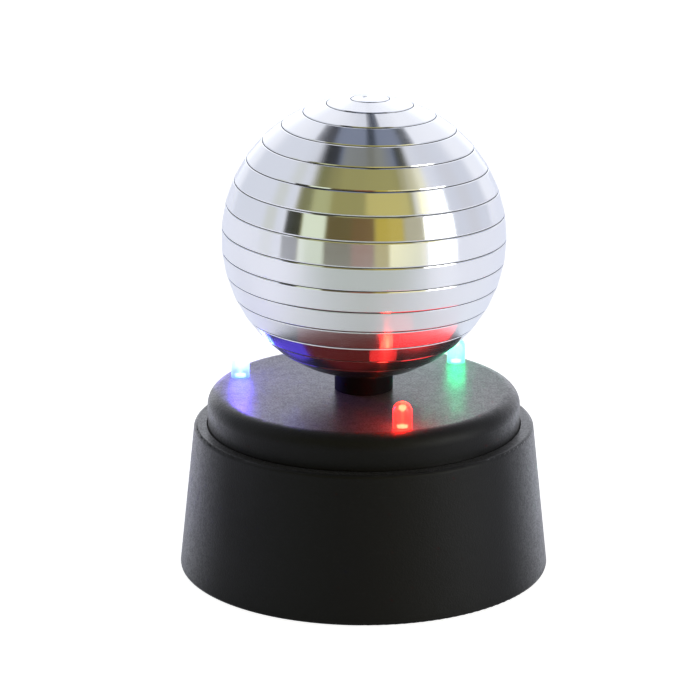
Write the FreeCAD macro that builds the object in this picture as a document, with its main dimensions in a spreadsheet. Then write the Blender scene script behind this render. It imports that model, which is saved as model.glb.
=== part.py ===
"""Battery lamp with a turning mirror ball: a round black base, three LEDs and a geared motor.

Lengths are millimetres. Z = 0 is the underside of the feet, and the Z axis is the ball's shaft.
The driving sizes live in the sheet "Sizes"; every other size is an expression of them.
"""
import FreeCAD, Part
import Sketcher
import math
import os
import re

Vector = FreeCAD.Vector

SIZES = {
    # Base: a tapered housing with a stepped deck let into its top.
    "foot_proud": 0.4, "base_radius": 50.0, "shoulder_radius": 45.75, "shoulder_height": 40.1,
    "housing_wall": 2.2, "shoulder_round": 1.0, "rim_round": 0.7,
    "deck_radius": 42.1, "deck_height": 49.45, "deck_round": 4.0, "deck_wall": 1.6,
    "cover_gap": 0.35, "flange_width": 1.4, "flange_thickness": 2.0,
    # Bottom plate, its screws and the feet.
    "plate_bottom": 1.4, "plate_thickness": 2.0, "plate_radius": 47.3,
    "boss_ring": 43.6, "boss_radius": 3.5, "boss_top": 14.0, "boss_angle": 45.0,
    "screw_radius": 1.2, "screw_head_radius": 2.4, "screw_head_height": 1.1,
    "foot_ring": 42.2, "foot_radius": 4.0, "foot_round": 0.3,
    # Battery well and its three cells.
    "cell_radius": 7.25, "cell_length": 50.5, "cell_pitch": 15.2, "cell_nub_radius": 2.75,
    "cell_nub_length": 1.0, "well_length": 59.0, "well_width": 46.4, "well_top": 20.2,
    "well_wall": 1.5, "door_length": 62.0, "door_width": 48.4, "door_clearance": 0.2,
    "door_tab_place": 33.0, "door_tab_radius": 4.5, "contact_thickness": 0.4,
    "contact_width": 12.0, "spring_wire": 0.4, "spring_wide": 4.6,
    # Slide switch on the bottom plate.
    "switch_x": 18.0, "switch_y": 32.0, "switch_length": 12.0, "switch_width": 6.0,
    "switch_height": 5.4, "knob_length": 3.4, "knob_width": 2.6, "knob_bottom": 0.9,
    "knob_top": 6.2, "knob_travel": 3.0, "slide_clearance": 0.2,
    # Control board on top of the well.
    "board_y": -17.0, "board_length": 34.0, "board_width": 16.0, "board_bottom": 24.0,
    "board_thickness": 1.2, "board_post_x": 14.0, "board_post_radius": 2.2,
    # Light-emitting diodes round the deck.
    "led_ring": 35.2, "led_red_angle": -73.4, "led_green_angle": 43.6, "led_blue_angle": 162.6,
    "led_radius": 2.5, "led_rise": 7.0,
    "led_flange_radius": 2.9, "led_flange_height": 1.0, "led_hole_radius": 2.6,
    "lead_side": 0.5, "lead_pitch": 2.54, "lead_length": 8.0, "wire_radius": 0.6,
    # Gear train: a pinion and two double gears drive the large output wheel.
    "gear_module": 0.5, "pinion_teeth": 10, "wheel_teeth": 40, "output_teeth": 48,
    "gear_addendum": 0.8, "gear_dedendum": 1.25, "gear_backlash": 0.16, "pressure_angle": 20.0,
    "gear_width": 2.0, "first_level": 37.0, "second_level": 39.6, "third_level": 42.2,
    "second_gear_angle": 150.0, "first_gear_angle": 50.0, "motor_angle": -10.0,
    "axle_radius": 0.75, "axle_clearance": 0.05, "hub_gap": 0.1,
    # Gearbox case.
    "case_x": -5.0, "case_y": 7.0, "case_radius": 22.8, "case_wall": 1.2, "case_bottom": 34.6,
    "case_floor": 1.8, "case_rim": 45.4, "lid_thickness": 1.4, "column_radius": 2.2, "column_sink": 0.8,
    "ear_ring": 26.1, "ear_radius": 3.9, "ear_height": 2.2, "post_radius": 3.0,
    "post_angle": -5.0,
    # Motor.
    "motor_radius": 12.2, "motor_bottom": 22.8, "motor_wall": 0.8, "magnet_thickness": 1.8,
    "armature_radius": 9.2, "armature_height": 5.0, "motor_shaft_radius": 1.0,
    "motor_boss_radius": 3.0,
    # Output shaft and the ball that it carries.
    "shaft_radius": 2.0, "shaft_bottom": 34.9, "shaft_top": 62.0, "shaft_flat": 1.5,
    "shaft_clearance": 0.05, "bush_radius": 4.0, "bush_flange_radius": 5.5,
    "hub_radius": 7.85, "hub_bottom": 49.75, "spigot_radius": 5.5, "spigot_top": 68.0,
    "nut_width": 9.0, "nut_height": 4.0,
    "ball_height": 91.7, "ball_radius": 37.95, "core_radius": 37.1, "core_wall": 1.8,
    "lip_radius": 35.05, "lip_wall": 1.4, "strip_thickness": 0.75, "band_angle": 10.0,
    "lowest_band": -78.0,
}

doc = FreeCAD.newDocument("mirror_ball_lamp")
sheet = doc.addObject("Spreadsheet::Sheet", "Sizes")
for row, (size_name, size) in enumerate(SIZES.items(), start=1):
    sheet.set("A%d" % row, size_name)
    sheet.set("B%d" % row, str(size))
    sheet.setAlias("B%d" % row, size_name)
doc.recompute()

pieces = []


# ---------------------------------------------------------------- helpers

def in_sheet(text):
    """Put the sheet's name before each size named in an expression."""
    return re.sub(r"[a-z_]+", lambda m: "Sizes." + m.group() if m.group() in SIZES else m.group(),
                  str(text))


def value(text):
    """A size expression worked out now, in a spare cell, for shapes that Part's functions make."""
    sheet.set("D1", "=" + str(text))
    sheet.recompute()
    return float(sheet.get("D1"))


def bind(thing, **sizes):
    for name, text in sizes.items():
        thing.setExpression(name, in_sheet(text))
    return thing


def place(thing, x=0, y=0, z=0):
    for axis, text in (("x", x), ("y", y), ("z", z)):
        thing.setExpression("Placement.Base." + axis, in_sheet(text))
    return thing


def rod(name, radius, height, x=0, y=0, z=0):
    return place(bind(doc.addObject("Part::Cylinder", name), Radius=radius, Height=height), x, y, z)


def rod_along_x(name, radius, height, x=0, y=0, z=0):
    """A cylinder whose axis runs along +X from the given point."""
    cylinder = doc.addObject("Part::Cylinder", name)
    cylinder.Placement = FreeCAD.Placement(Vector(), FreeCAD.Rotation(Vector(0, 1, 0), 90))
    return place(bind(cylinder, Radius=radius, Height=height), x, y, z)


def ball(name, radius, z):
    return place(bind(doc.addObject("Part::Sphere", name), Radius=radius), 0, 0, z)


def block(name, length, width, height, x, y, z):
    """A box centred on x and y, standing on z."""
    box = bind(doc.addObject("Part::Box", name), Length=length, Width=width, Height=height)
    return place(box, "%s - (%s) / 2" % (x, length), "%s - (%s) / 2" % (y, width), z)


def fuse(name, shapes):
    joined = doc.addObject("Part::MultiFuse", name)
    joined.Shapes = shapes
    return joined


def cut(name, base, tools):
    """Take one or more tools out of a base."""
    result = doc.addObject("Part::Cut", name)
    result.Base = base
    result.Tool = tools[0] if len(tools) == 1 else fuse(name + "_tools", tools)
    return result


def group(name, shapes):
    """Several separate solids that share one node, such as a set of screws."""
    compound = doc.addObject("Part::Compound", name)
    compound.Links = shapes
    return compound


def piece(thing, label):
    thing.Label = label
    pieces.append(thing)
    return thing


def made(label, shape, x=0.0, y=0.0, z=0.0):
    """A sub-part whose shape Part's own functions make."""
    feature = doc.addObject("Part::Feature", label)
    feature.Shape = shape
    feature.Placement = FreeCAD.Placement(Vector(x, y, z), FreeCAD.Rotation())
    return piece(feature, label)


def polar(ring, angle):
    """Expressions for the point at an angle on a ring about the Z axis."""
    return "(%s) * cos(%s)" % (ring, angle), "(%s) * sin(%s)" % (ring, angle)


def turned_body(name, outline):
    """A PartDesign body: the outline of (radius, height) expressions turned about Z."""
    body = doc.addObject("PartDesign::Body", name)
    sketch = body.newObject("Sketcher::SketchObject", name + "_outline")
    plane = [f for f in body.Origin.OriginFeatures if f.Role == "XZ_Plane"][0]
    sketch.AttachmentSupport = [(plane, "")]
    sketch.MapMode = "FlatFace"
    spots = [[value(text) for text in corner] for corner in outline]
    for start, end in zip(spots, spots[1:] + spots[:1]):
        sketch.addGeometry(Part.LineSegment(Vector(*start, 0), Vector(*end, 0)), False)
    for index in range(len(spots)):
        sketch.addConstraint(Sketcher.Constraint("Coincident", index, 2, (index + 1) % len(spots), 1))
    for index, (corner, spot) in enumerate(zip(outline, spots)):
        for kind, text, size in zip(("DistanceX", "DistanceY"), corner, spot):
            if text == "0":
                sketch.addConstraint(Sketcher.Constraint("PointOnObject", index, 1, -2))
                continue
            number = sketch.addConstraint(Sketcher.Constraint(kind, -1, 1, index, 1, size))
            sketch.setExpression("Constraints[%d]" % number, in_sheet(text))
    turning = body.newObject("PartDesign::Revolution", name + "_turning")
    turning.Profile = sketch
    turning.ReferenceAxis = (sketch, ["V_Axis"])
    turning.Angle = 360
    doc.recompute()
    return body


def round_edge(body, name, radius, edge_radius, edge_height):
    """Fillet the circular edge of a body that has the given radius and height."""
    wanted_radius, wanted_height = value(edge_radius), value(edge_height)
    base, edges = body.Tip, []
    for number, edge in enumerate(base.Shape.Edges, start=1):
        curve = edge.Curve
        if not hasattr(curve, "Radius") or abs(curve.Axis.z) < 0.99:
            continue
        if abs(curve.Radius - wanted_radius) < 0.01 and abs(curve.Center.z - wanted_height) < 0.01:
            edges.append("Edge%d" % number)
    fillet = body.newObject("PartDesign::Fillet", name)
    fillet.Base = (base, edges)
    bind(fillet, Radius=radius)
    doc.recompute()


# ---------------------------------------------------------------- base

PLATE_TOP = "plate_bottom + plate_thickness"
DECK_UNDER = "deck_height - deck_wall"
BOSS_ANGLES = ["boss_angle + %d" % turn for turn in (0, 120, 240)]
LED_ANGLES = {"red": "led_red_angle", "green": "led_green_angle", "blue": "led_blue_angle"}
CELL_ROWS = {"left": -1, "middle": 0, "right": 1}


def make_housing():
    """Tapered outer shell, open below, with an inward collar at the shoulder."""
    collar = "deck_radius + cover_gap"
    body = turned_body("housing_shell", [
        ("base_radius", "foot_proud"),
        ("shoulder_radius", "shoulder_height"),
        (collar, "shoulder_height"),
        (collar, "shoulder_height - housing_wall"),
        ("shoulder_radius - housing_wall", "shoulder_height - housing_wall"),
        ("base_radius - housing_wall", "foot_proud")])
    round_edge(body, "shoulder_rounding", "shoulder_round", "shoulder_radius", "shoulder_height")
    round_edge(body, "rim_rounding", "rim_round", "base_radius", "foot_proud")
    bosses, pilots = [], []
    for index, angle in enumerate(BOSS_ANGLES):
        x, y = polar("boss_ring", angle)
        height = "boss_top - (%s)" % PLATE_TOP
        bosses.append(rod("housing_boss_%d" % index, "boss_radius", height, x, y, PLATE_TOP))
        pilots.append(rod("housing_pilot_%d" % index, "screw_radius", height + " - 1", x, y,
                          PLATE_TOP))
    solid = fuse("housing_with_bosses", [body] + bosses)
    piece(cut("base_housing", solid, pilots), "base_housing")


def post_place(turn):
    """Expressions for the gearbox post at a third of a turn round the case."""
    x, y = polar("ear_ring", "post_angle + %d" % turn)
    return "case_x + " + x, "case_y + " + y


def make_top_cover():
    """Stepped deck, flanged under the collar, with gearbox posts and LED holes."""
    wall = "deck_radius - housing_wall"
    body = turned_body("cover_shell", [
        ("bush_radius", "deck_height"),
        ("deck_radius", "deck_height"),
        ("deck_radius", "shoulder_height - housing_wall"),
        ("deck_radius + flange_width", "shoulder_height - housing_wall"),
        ("deck_radius + flange_width", "shoulder_height - housing_wall - flange_thickness"),
        (wall, "shoulder_height - housing_wall - flange_thickness"),
        (wall, DECK_UNDER),
        ("bush_radius", DECK_UNDER)])
    round_edge(body, "deck_rounding", "deck_round", "deck_radius", "deck_height")
    round_edge(body, "inner_rounding", "deck_round - 1.5 * deck_wall", wall, DECK_UNDER)
    ear_top = "case_bottom + ear_height"
    posts, holes = [], []
    for turn in (0, 120, 240):
        x, y = post_place(turn)
        posts.append(rod("cover_post_%d" % turn, "post_radius",
                         "deck_height - deck_wall / 2 - (%s)" % ear_top, x, y, ear_top))
        holes.append(rod("cover_pilot_%d" % turn, "screw_radius", "7", x, y, ear_top))
    for colour, angle in LED_ANGLES.items():
        x, y = polar("led_ring", angle)
        holes.append(rod("cover_hole_" + colour, "led_hole_radius", "2 * deck_wall", x, y,
                         "deck_height - 1.5 * deck_wall"))
    piece(cut("top_cover", fuse("cover_with_posts", [body] + posts), holes), "top_cover")


def make_bottom_plate():
    """Round plate that carries the battery well, the switch slot and the board's posts."""
    well_outer = ("well_length + 2 * well_wall", "well_width + 2 * well_wall")
    well_height = "well_top + well_wall - (%s)" % PLATE_TOP
    solids = [rod("plate_disc", "plate_radius", "plate_thickness", 0, 0, "plate_bottom"),
              block("well_box", well_outer[0], well_outer[1], well_height, 0, 0, PLATE_TOP),
              rod("door_boss", "door_tab_radius - 1", "6", "door_tab_place", 0, PLATE_TOP)]
    tools = [block("well_room", "well_length", "well_width", "well_top - plate_bottom", 0, 0,
                   "plate_bottom"),
             block("door_room", "door_length + 2 * door_clearance",
                   "door_width + 2 * door_clearance", "plate_thickness", 0, 0, "plate_bottom"),
             rod("door_tab_room", "door_tab_radius + door_clearance", "plate_thickness",
                 "door_tab_place", 0, "plate_bottom"),
             rod("door_pilot", "screw_radius", "5", "door_tab_place", 0, PLATE_TOP),
             block("switch_slot", "knob_length + knob_travel + 2 * slide_clearance",
                   "knob_width + 2 * slide_clearance", "2 * plate_thickness",
                   "switch_x + knob_travel / 2", "switch_y", "plate_bottom - 1")]
    for side in (-1, 1):
        x = "%d * board_post_x" % side
        solids.append(rod("board_post_%d" % side, "board_post_radius",
                          "board_bottom - well_top - 0.5", x, "board_y", "well_top + 0.5"))
        tools.append(rod("board_pilot_%d" % side, "0.9", "3", x, "board_y", "board_bottom - 3"))
    for index, angle in enumerate(BOSS_ANGLES):
        x, y = polar("boss_ring", angle)
        tools.append(rod("plate_screw_hole_%d" % index, "screw_radius", "plate_thickness", x, y,
                         "plate_bottom"))
        tools.append(rod("plate_sink_%d" % index, "screw_head_radius + 0.1",
                         "screw_head_height + 0.1", x, y, "plate_bottom"))
    piece(cut("bottom_plate", fuse("plate_solids", solids), tools), "bottom_plate")


def screw(name, head_radius, head_height, shank_radius, shank_length, x, y, z):
    """A pan-head screw that points up, its head standing on z, with a cross slot."""
    head = rod(name + "_head", head_radius, head_height, x, y, z)
    shank = rod(name + "_shank", shank_radius, shank_length, x, y, "%s + %s" % (z, head_height))
    slots = [block(name + "_slot_" + way, length, width, "0.5", x, y, z)
             for way, length, width in (("a", "%s * 1.2" % head_radius, "0.6"),
                                        ("b", "0.6", "%s * 1.2" % head_radius))]
    return cut(name, fuse(name + "_blank", [head, shank]), slots)


def make_base_screws():
    screws = []
    for index, angle in enumerate(BOSS_ANGLES):
        x, y = polar("boss_ring", angle)
        screws.append(screw("base_screw_%d" % index, "screw_head_radius", "screw_head_height",
                            "screw_radius", "9", x, y, "plate_bottom + 0.1"))
    piece(group("base_screws", screws), "base_screws")


def make_feet():
    """Four rubber discs on the bottom plate, a little proud of the rim."""
    feet = []
    for turn in (0, 90, 180, 270):
        x, y = polar("foot_ring", str(turn))
        blank = rod("foot_blank_%d" % turn, "foot_radius", "plate_bottom", x, y, 0)
        doc.recompute()
        rounded = doc.addObject("Part::Fillet", "foot_%d" % turn)
        rounded.Base = blank
        low = [n for n, edge in enumerate(blank.Shape.Edges, start=1)
               if edge.BoundBox.ZMax < 0.01 and edge.Closed]
        rounded.Edges = [(n, SIZES["foot_round"], SIZES["foot_round"]) for n in low]
        feet.append(rounded)
    piece(group("feet", feet), "feet")


# ---------------------------------------------------------------- battery compartment

def make_door():
    """Door flush with the plate, with a round tab at one end for its screw."""
    solid = fuse("door_blank", [
        block("door_panel", "door_length", "door_width", "plate_thickness", 0, 0, "plate_bottom"),
        rod("door_tab", "door_tab_radius", "plate_thickness", "door_tab_place", 0,
            "plate_bottom")])
    tools = [rod("door_screw_hole", "screw_radius", "plate_thickness", "door_tab_place", 0,
                 "plate_bottom"),
             rod("door_sink", "screw_head_radius + 0.1", "screw_head_height + 0.1",
                 "door_tab_place", 0, "plate_bottom")]
    for number in range(5):
        tools.append(block("door_groove_%d" % number, "1.2", "door_width / 3", "0.5",
                           "%d - door_length / 2" % (5 + 3 * number), 0, "plate_bottom"))
    piece(cut("battery_door", solid, tools), "battery_door")
    piece(screw("door_screw", "screw_head_radius", "screw_head_height", "screw_radius - 0.05",
                "4.5", "door_tab_place", 0, "plate_bottom + 0.1"), "door_screw")


def make_cells():
    """Three AA cells side by side; the middle one faces the other way."""
    for name, side in CELL_ROWS.items():
        facing = 1 if side else -1
        y = "%d * cell_pitch" % side
        height = "%s + 0.4 + cell_radius" % PLATE_TOP
        nub_tip = "well_length / 2 - contact_thickness - 1"
        start = nub_tip + " - cell_length" if facing > 0 else "-(%s) + cell_nub_length" % nub_tip
        nub_start = nub_tip + " - cell_nub_length" if facing > 0 else "-(%s)" % nub_tip
        can = rod_along_x("cell_can_" + name, "cell_radius", "cell_length - cell_nub_length",
                          start, y, height)
        nub = rod_along_x("cell_nub_" + name, "cell_nub_radius", "cell_nub_length", nub_start, y,
                          height)
        piece(fuse("battery_cell_" + name, [can, nub]), "battery_cell_" + name)


def spring_shape(start, facing, length, y, height):
    """A coil spring drawn as rings that touch, wide at its plate and narrow at the cell."""
    wire, wide = SIZES["spring_wire"], SIZES["spring_wide"]
    rings = int(length / (2 * wire))
    solids = []
    for number in range(rings):
        radius = wide - 1.6 * number / rings
        centre = Vector(start + facing * wire * (2 * number + 1), y, height)
        solids.append(Part.makeTorus(radius, wire * 0.98, centre, Vector(1, 0, 0)))
    return solids


def make_contacts():
    """Nickel plates at both ends of the well: bumps for the nubs and springs for the cans."""
    thick, width = SIZES["contact_thickness"], SIZES["contact_width"]
    height = value(PLATE_TOP + " + 0.4 + cell_radius")
    half_well = SIZES["well_length"] / 2
    bumps, springs = [], []
    for name, side in CELL_ROWS.items():
        facing = 1 if side else -1
        y = side * SIZES["cell_pitch"]
        corner = Vector(half_well - thick if facing > 0 else -half_well, y - width / 2, height - 6)
        plate = Part.makeBox(thick, width, 12, corner)
        bump = Part.makeCylinder(2.2, 1, Vector(facing * (half_well - thick), y, height),
                                 Vector(-facing, 0, 0))
        bumps.append(plate.fuse(bump).removeSplitter())
        other = Vector(-half_well if facing > 0 else half_well - thick, y - width / 2, height - 6)
        springs.append(Part.makeBox(thick, width, 12, other))
        room = 2 * half_well - 2 * thick - 1 - SIZES["cell_length"]
        springs.extend(spring_shape(-facing * (half_well - thick), facing, room, y, height))
    made("flat_contacts", Part.makeCompound(bumps))
    made("spring_contacts", Part.makeCompound(springs))


def make_switch():
    """Slide switch: a case over the slot in the plate, and the knob that slides along X."""
    slot = "knob_length + knob_travel + 2 * slide_clearance"
    case = block("switch_case", "switch_length", "switch_width", "switch_height", "switch_x",
                 "switch_y", PLATE_TOP)
    room = block("switch_room", slot, "knob_width + 2 * slide_clearance",
                 "knob_top - (%s) + 2 * slide_clearance" % PLATE_TOP,
                 "switch_x + knob_travel / 2", "switch_y", PLATE_TOP)
    pins = [block("switch_pin_%d" % place_x, "0.5", "1", "3", "switch_x + %d" % place_x,
                  "switch_y", PLATE_TOP + " + switch_height") for place_x in (-3, 0, 3)]
    piece(fuse("switch_body", [cut("switch_hollow_case", case, [room])] + pins), "switch_body")
    knob = block("knob_block", "knob_length", "knob_width", "knob_top - knob_bottom", "switch_x",
                 "switch_y", "knob_bottom")
    grooves = [block("knob_groove_%d" % number, "0.3", "knob_width", "0.25",
                     "switch_x + %s" % (0.8 * number), "switch_y", "knob_bottom")
               for number in (-1, 0, 1)]
    piece(cut("switch_knob", knob, grooves), "switch_knob")


# ---------------------------------------------------------------- electronics

def make_board():
    """Small circuit board on two posts, with a chip, resistors and a capacitor."""
    top = "board_bottom + board_thickness"
    board = block("board_blank", "board_length", "board_width", "board_thickness", 0, "board_y",
                  "board_bottom")
    holes = [rod("board_hole_%d" % side, "1.1", "board_thickness", "%d * board_post_x" % side,
                 "board_y", "board_bottom") for side in (-1, 1)]
    piece(cut("control_board", board, holes), "control_board")
    piece(block("control_chip", "8", "6", "1.6", -3, "board_y + 1", top), "control_chip")
    piece(rod("board_capacitor", "2.5", "7", 6, "board_y + 3", top), "board_capacitor")
    resistors = [rod_along_x("resistor_%d" % n, "0.9", "5", 3, "board_y - %s" % (1 + 2.2 * n),
                             top + " + 0.9") for n in range(3)]
    piece(group("board_resistors", resistors), "board_resistors")
    screws = []
    for side in (-1, 1):
        x = "%d * board_post_x" % side
        head = rod("board_screw_head_%d" % side, "1.8", "1.2", x, "board_y", top)
        shank = rod("board_screw_shank_%d" % side, "0.9", "3.5", x, "board_y", top + " - 3.5")
        screws.append(fuse("board_screw_%d" % side, [head, shank]))
    piece(group("board_screws", screws), "board_screws")


def make_leds():
    """Three 5 mm diodes with domed lenses that stand out of the deck, and their leads."""
    leads = []
    for colour, angle in LED_ANGLES.items():
        x, y = polar("led_ring", angle)
        low = DECK_UNDER + " - led_flange_height"
        flange = rod("led_flange_" + colour, "led_flange_radius", "led_flange_height", x, y, low)
        straight = "led_rise + deck_wall - led_radius"
        body = rod("led_straight_" + colour, "led_radius", straight, x, y, DECK_UNDER)
        dome = place(bind(doc.addObject("Part::Sphere", "led_dome_" + colour),
                          Radius="led_radius"), x, y, "deck_height + led_rise - led_radius")
        piece(fuse("led_" + colour, [flange, body, dome]), "led_" + colour)
        for side in (-1, 1):
            leads.append(block("lead_%s_%d" % (colour, side), "lead_side", "lead_side",
                               "lead_length", "(%s) + %d * lead_pitch / 2" % (x, side), y,
                               low + " - lead_length"))
    piece(group("led_leads", leads), "led_leads")


def tube_along(points, radius):
    """A wire along straight runs joined by arcs tangent to them.

    Each arc's radius is 0.45 of the shorter run over the tangent of half the turn.
    """
    spots = [Vector(*point) for point in points]
    edges, radii, start = [], [], spots[0]
    for before, corner, after in zip(spots, spots[1:], spots[2:]):
        back, ahead = before - corner, after - corner
        reach = 0.45 * min(back.Length, ahead.Length)
        half_turn = (math.pi - back.getAngle(ahead)) / 2
        radii.append(reach / math.tan(half_turn))
        back.normalize()
        ahead.normalize()
        first, last = corner + back * reach, corner + ahead * reach
        middle = (back + ahead).normalize()
        depth = radii[-1] / math.cos(half_turn) - radii[-1]
        edges.append(Part.LineSegment(start, first).toShape())
        edges.append(Part.Arc(first, corner + middle * depth, last).toShape())
        start = last
    edges.append(Part.LineSegment(start, spots[-1]).toShape())
    path = Part.Wire(edges)
    ring = Part.Wire(Part.makeCircle(radius, spots[0], spots[1] - spots[0]))
    tube = path.makePipeShell([ring], True, False)
    print("wire %.1f mm long, bends %s" % (path.Length, [round(r, 1) for r in radii]))
    if abs(tube.Volume / (math.pi * radius ** 2 * path.Length) - 1) > 0.01:
        raise ValueError("a wire's volume is not its section times its length")
    return tube


def make_wires():
    """Insulated wires inside the base, each a fixed route from terminal to board."""
    wire = SIZES["wire_radius"]
    board_top = value("board_bottom + board_thickness + wire_radius")
    end_wall = value("well_length / 2 + well_wall")
    board_y = SIZES["board_y"]
    routes = {
        "battery_lead_red": [(end_wall + 0.7, -15, 13), (end_wall + 1, -15, 24),
                             (26, -15.5, 30), (17.5, board_y - 2, 30.5),
                             (15.5, board_y - 5, board_top)],
        "battery_lead_black": [(-end_wall - 0.7, -15, 13), (-end_wall - 1, -15, 24),
                               (-26, -15.5, 30), (-17.5, board_y - 2, 30.5),
                               (-15.5, board_y - 5, board_top)],
    }
    for label, route in routes.items():
        made(label, tube_along(route, wire))
    motor = motor_place()
    terminals = [(motor[0] - 5.5, motor[1] - 11.8, 27), (motor[0] - 8.5, motor[1] - 10.2, 27)]
    motor_wires = []
    for terminal, board_x in zip(terminals, (-6, -10)):
        motor_wires.append(tube_along([terminal, (terminal[0] - 1.5, terminal[1] - 3.5, 29),
                                       (board_x + 1.5, board_y + 9.5, 30),
                                       (board_x, board_y + 6.5, board_top)], wire))
    made("motor_leads", Part.makeCompound(motor_wires))
    low = value(DECK_UNDER + " - led_flange_height - lead_length")
    ends = {"red": [(7.5, -29, 29.5), (7.5, -23.5, board_top + 2)],
            "green": [(26.5, 8, 29), (22, -9, 29.5), (15.5, board_y + 4.5, board_top + 0.4)],
            "blue": [(-32, 0, 29), (-22, -10.5, 29.5), (-15.5, board_y + 4.5, board_top + 0.4)]}
    led_wires = []
    for colour, rest in ends.items():
        x, y = [value(text) for text in polar("led_ring", LED_ANGLES[colour])]
        led_wires.append(tube_along([(x, y, low), (x * 0.995, y * 0.99, low - 7)] + rest,
                                    1.5 * wire))
    made("led_wires", Part.makeCompound(led_wires))


# ---------------------------------------------------------------- gearbox and motor

def second_place():
    """Centre of the double gear that meshes with the output wheel."""
    reach = value("gear_module * (output_teeth + pinion_teeth) / 2")
    angle = math.radians(SIZES["second_gear_angle"])
    return reach * math.cos(angle), reach * math.sin(angle)


def first_place():
    """Centre of the double gear that the motor's pinion drives."""
    x, y = second_place()
    reach = value("gear_module * (wheel_teeth + pinion_teeth) / 2")
    angle = math.radians(SIZES["first_gear_angle"])
    return x + reach * math.cos(angle), y + reach * math.sin(angle)


def motor_place():
    x, y = first_place()
    reach = value("gear_module * (wheel_teeth + pinion_teeth) / 2")
    angle = math.radians(SIZES["motor_angle"])
    return x + reach * math.cos(angle), y + reach * math.sin(angle)


def involute_angle(radius, base_radius):
    """Polar angle of an involute point at a radius, from where the curve leaves its base."""
    if radius <= base_radius:
        return 0.0
    pressure = math.acos(base_radius / radius)
    return math.tan(pressure) - pressure


def toothed_disc(teeth, width, phase):
    """A spur gear about the origin whose first tooth is centred on the phase angle."""
    module = SIZES["gear_module"]
    pitch = module * teeth / 2
    base = pitch * math.cos(math.radians(SIZES["pressure_angle"]))
    tip = pitch + module * SIZES["gear_addendum"]
    root = pitch - module * SIZES["gear_dedendum"]
    half_tooth = math.pi / (2 * teeth) - SIZES["gear_backlash"] / (2 * pitch)
    half_tooth += involute_angle(pitch, base)
    flank = [max(root, base) + (tip - max(root, base)) * step / 3 for step in range(4)]
    corners = []
    for tooth in range(teeth):
        centre = math.radians(phase) + 2 * math.pi * tooth / teeth
        sides = [(root, half_tooth)] if root < base else []
        sides += [(radius, half_tooth - involute_angle(radius, base)) for radius in flank]
        for radius, angle in sides:
            corners.append((radius, centre - angle))
        for radius, angle in reversed(sides):
            corners.append((radius, centre + angle))
    points = [Vector(radius * math.cos(a), radius * math.sin(a), 0) for radius, a in corners]
    face = Part.Face(Part.makePolygon(points + [points[0]]))
    return face.extrude(Vector(0, 0, width))


def mesh_phase(phase, teeth, direction, next_teeth):
    """First-tooth angle of the next gear, which lies in the direction of this one's contact."""
    part_tooth = (phase - direction) / (360 / teeth)
    return direction + 180 - (part_tooth + 0.5) * 360 / next_teeth


def make_gear_train():
    """Output wheel, two double gears and the motor's pinion, all in mesh at rest."""
    module_width = SIZES["gear_width"]
    pinion_teeth = int(SIZES["pinion_teeth"])
    wheel_teeth = int(SIZES["wheel_teeth"])
    output_teeth = int(SIZES["output_teeth"])
    low, middle, high = (SIZES[level + "_level"] for level in ("first", "second", "third"))
    bore = SIZES["axle_radius"] + SIZES["axle_clearance"]
    floor = value("case_bottom + case_floor + hub_gap")
    ceiling = value("case_rim - hub_gap")

    shaft = SIZES["shaft_radius"]
    wheel = toothed_disc(output_teeth, module_width, 0)
    hub = Part.makeCylinder(3.4, ceiling - floor, Vector(0, 0, floor - high))
    wheel = wheel.fuse(hub).cut(Part.makeCylinder(shaft, 20, Vector(0, 0, -10))).removeSplitter()
    made("output_gear", wheel, 0, 0, high)

    def double_gear(label, spot, wheel_level, wheel_phase, pinion_phase, pinion_level):
        top = pinion_level + module_width
        lower = toothed_disc(wheel_teeth, module_width, wheel_phase)
        upper = toothed_disc(pinion_teeth, top - wheel_level - module_width + 0.2, pinion_phase)
        upper.translate(Vector(0, 0, module_width))
        collar = Part.makeCylinder(1.55, wheel_level - floor, Vector(0, 0, floor - wheel_level))
        neck = Part.makeCylinder(1.55, ceiling - top, Vector(0, 0, top - wheel_level))
        solid = lower.fuse([upper, collar, neck])
        solid = solid.cut(Part.makeCylinder(bore, 30, Vector(0, 0, -15))).removeSplitter()
        made(label, solid, spot[0], spot[1], wheel_level)

    towards_second = SIZES["second_gear_angle"]
    phase = mesh_phase(0, output_teeth, towards_second, pinion_teeth)
    double_gear("second_gear", second_place(), middle, 0, phase, high)
    towards_first = SIZES["first_gear_angle"]
    phase = mesh_phase(0, wheel_teeth, towards_first, pinion_teeth)
    double_gear("first_gear", first_place(), low, 0, phase, middle)
    motor_phase = mesh_phase(0, wheel_teeth, SIZES["motor_angle"], pinion_teeth)
    pinion = toothed_disc(pinion_teeth, module_width, motor_phase)
    hole = Part.makeCylinder(SIZES["motor_shaft_radius"], 10, Vector(0, 0, -5))
    x, y = motor_place()
    made("motor_pinion", pinion.cut(hole), x, y, low)
    for label, spot in (("first_axle", first_place()), ("second_axle", second_place())):
        length = value("case_rim + lid_thickness - case_bottom")
        made(label, Part.makeCylinder(SIZES["axle_radius"], length), spot[0], spot[1],
             SIZES["case_bottom"])


def lid_column_spots():
    """Where the three lid screws stand, clear of the gears, sunk a little into the case wall."""
    ring = value("case_radius - case_wall - column_radius + column_sink")
    return [(value("case_x") + ring * math.cos(math.radians(angle)),
             value("case_y") + ring * math.sin(math.radians(angle))) for angle in (10, 150, 245)]


def drill(shape, radius, spots, bottom, height):
    """Take upright round holes out of a shape."""
    holes = [Part.makeCylinder(radius, height, Vector(x, y, bottom)) for x, y in spots]
    return shape.cut(holes)


def motor_screw_spots():
    x, y = motor_place()
    return [(x + 7.5 * math.cos(turn), y + 7.5 * math.sin(turn))
            for turn in (math.radians(62), math.radians(242))]


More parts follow.
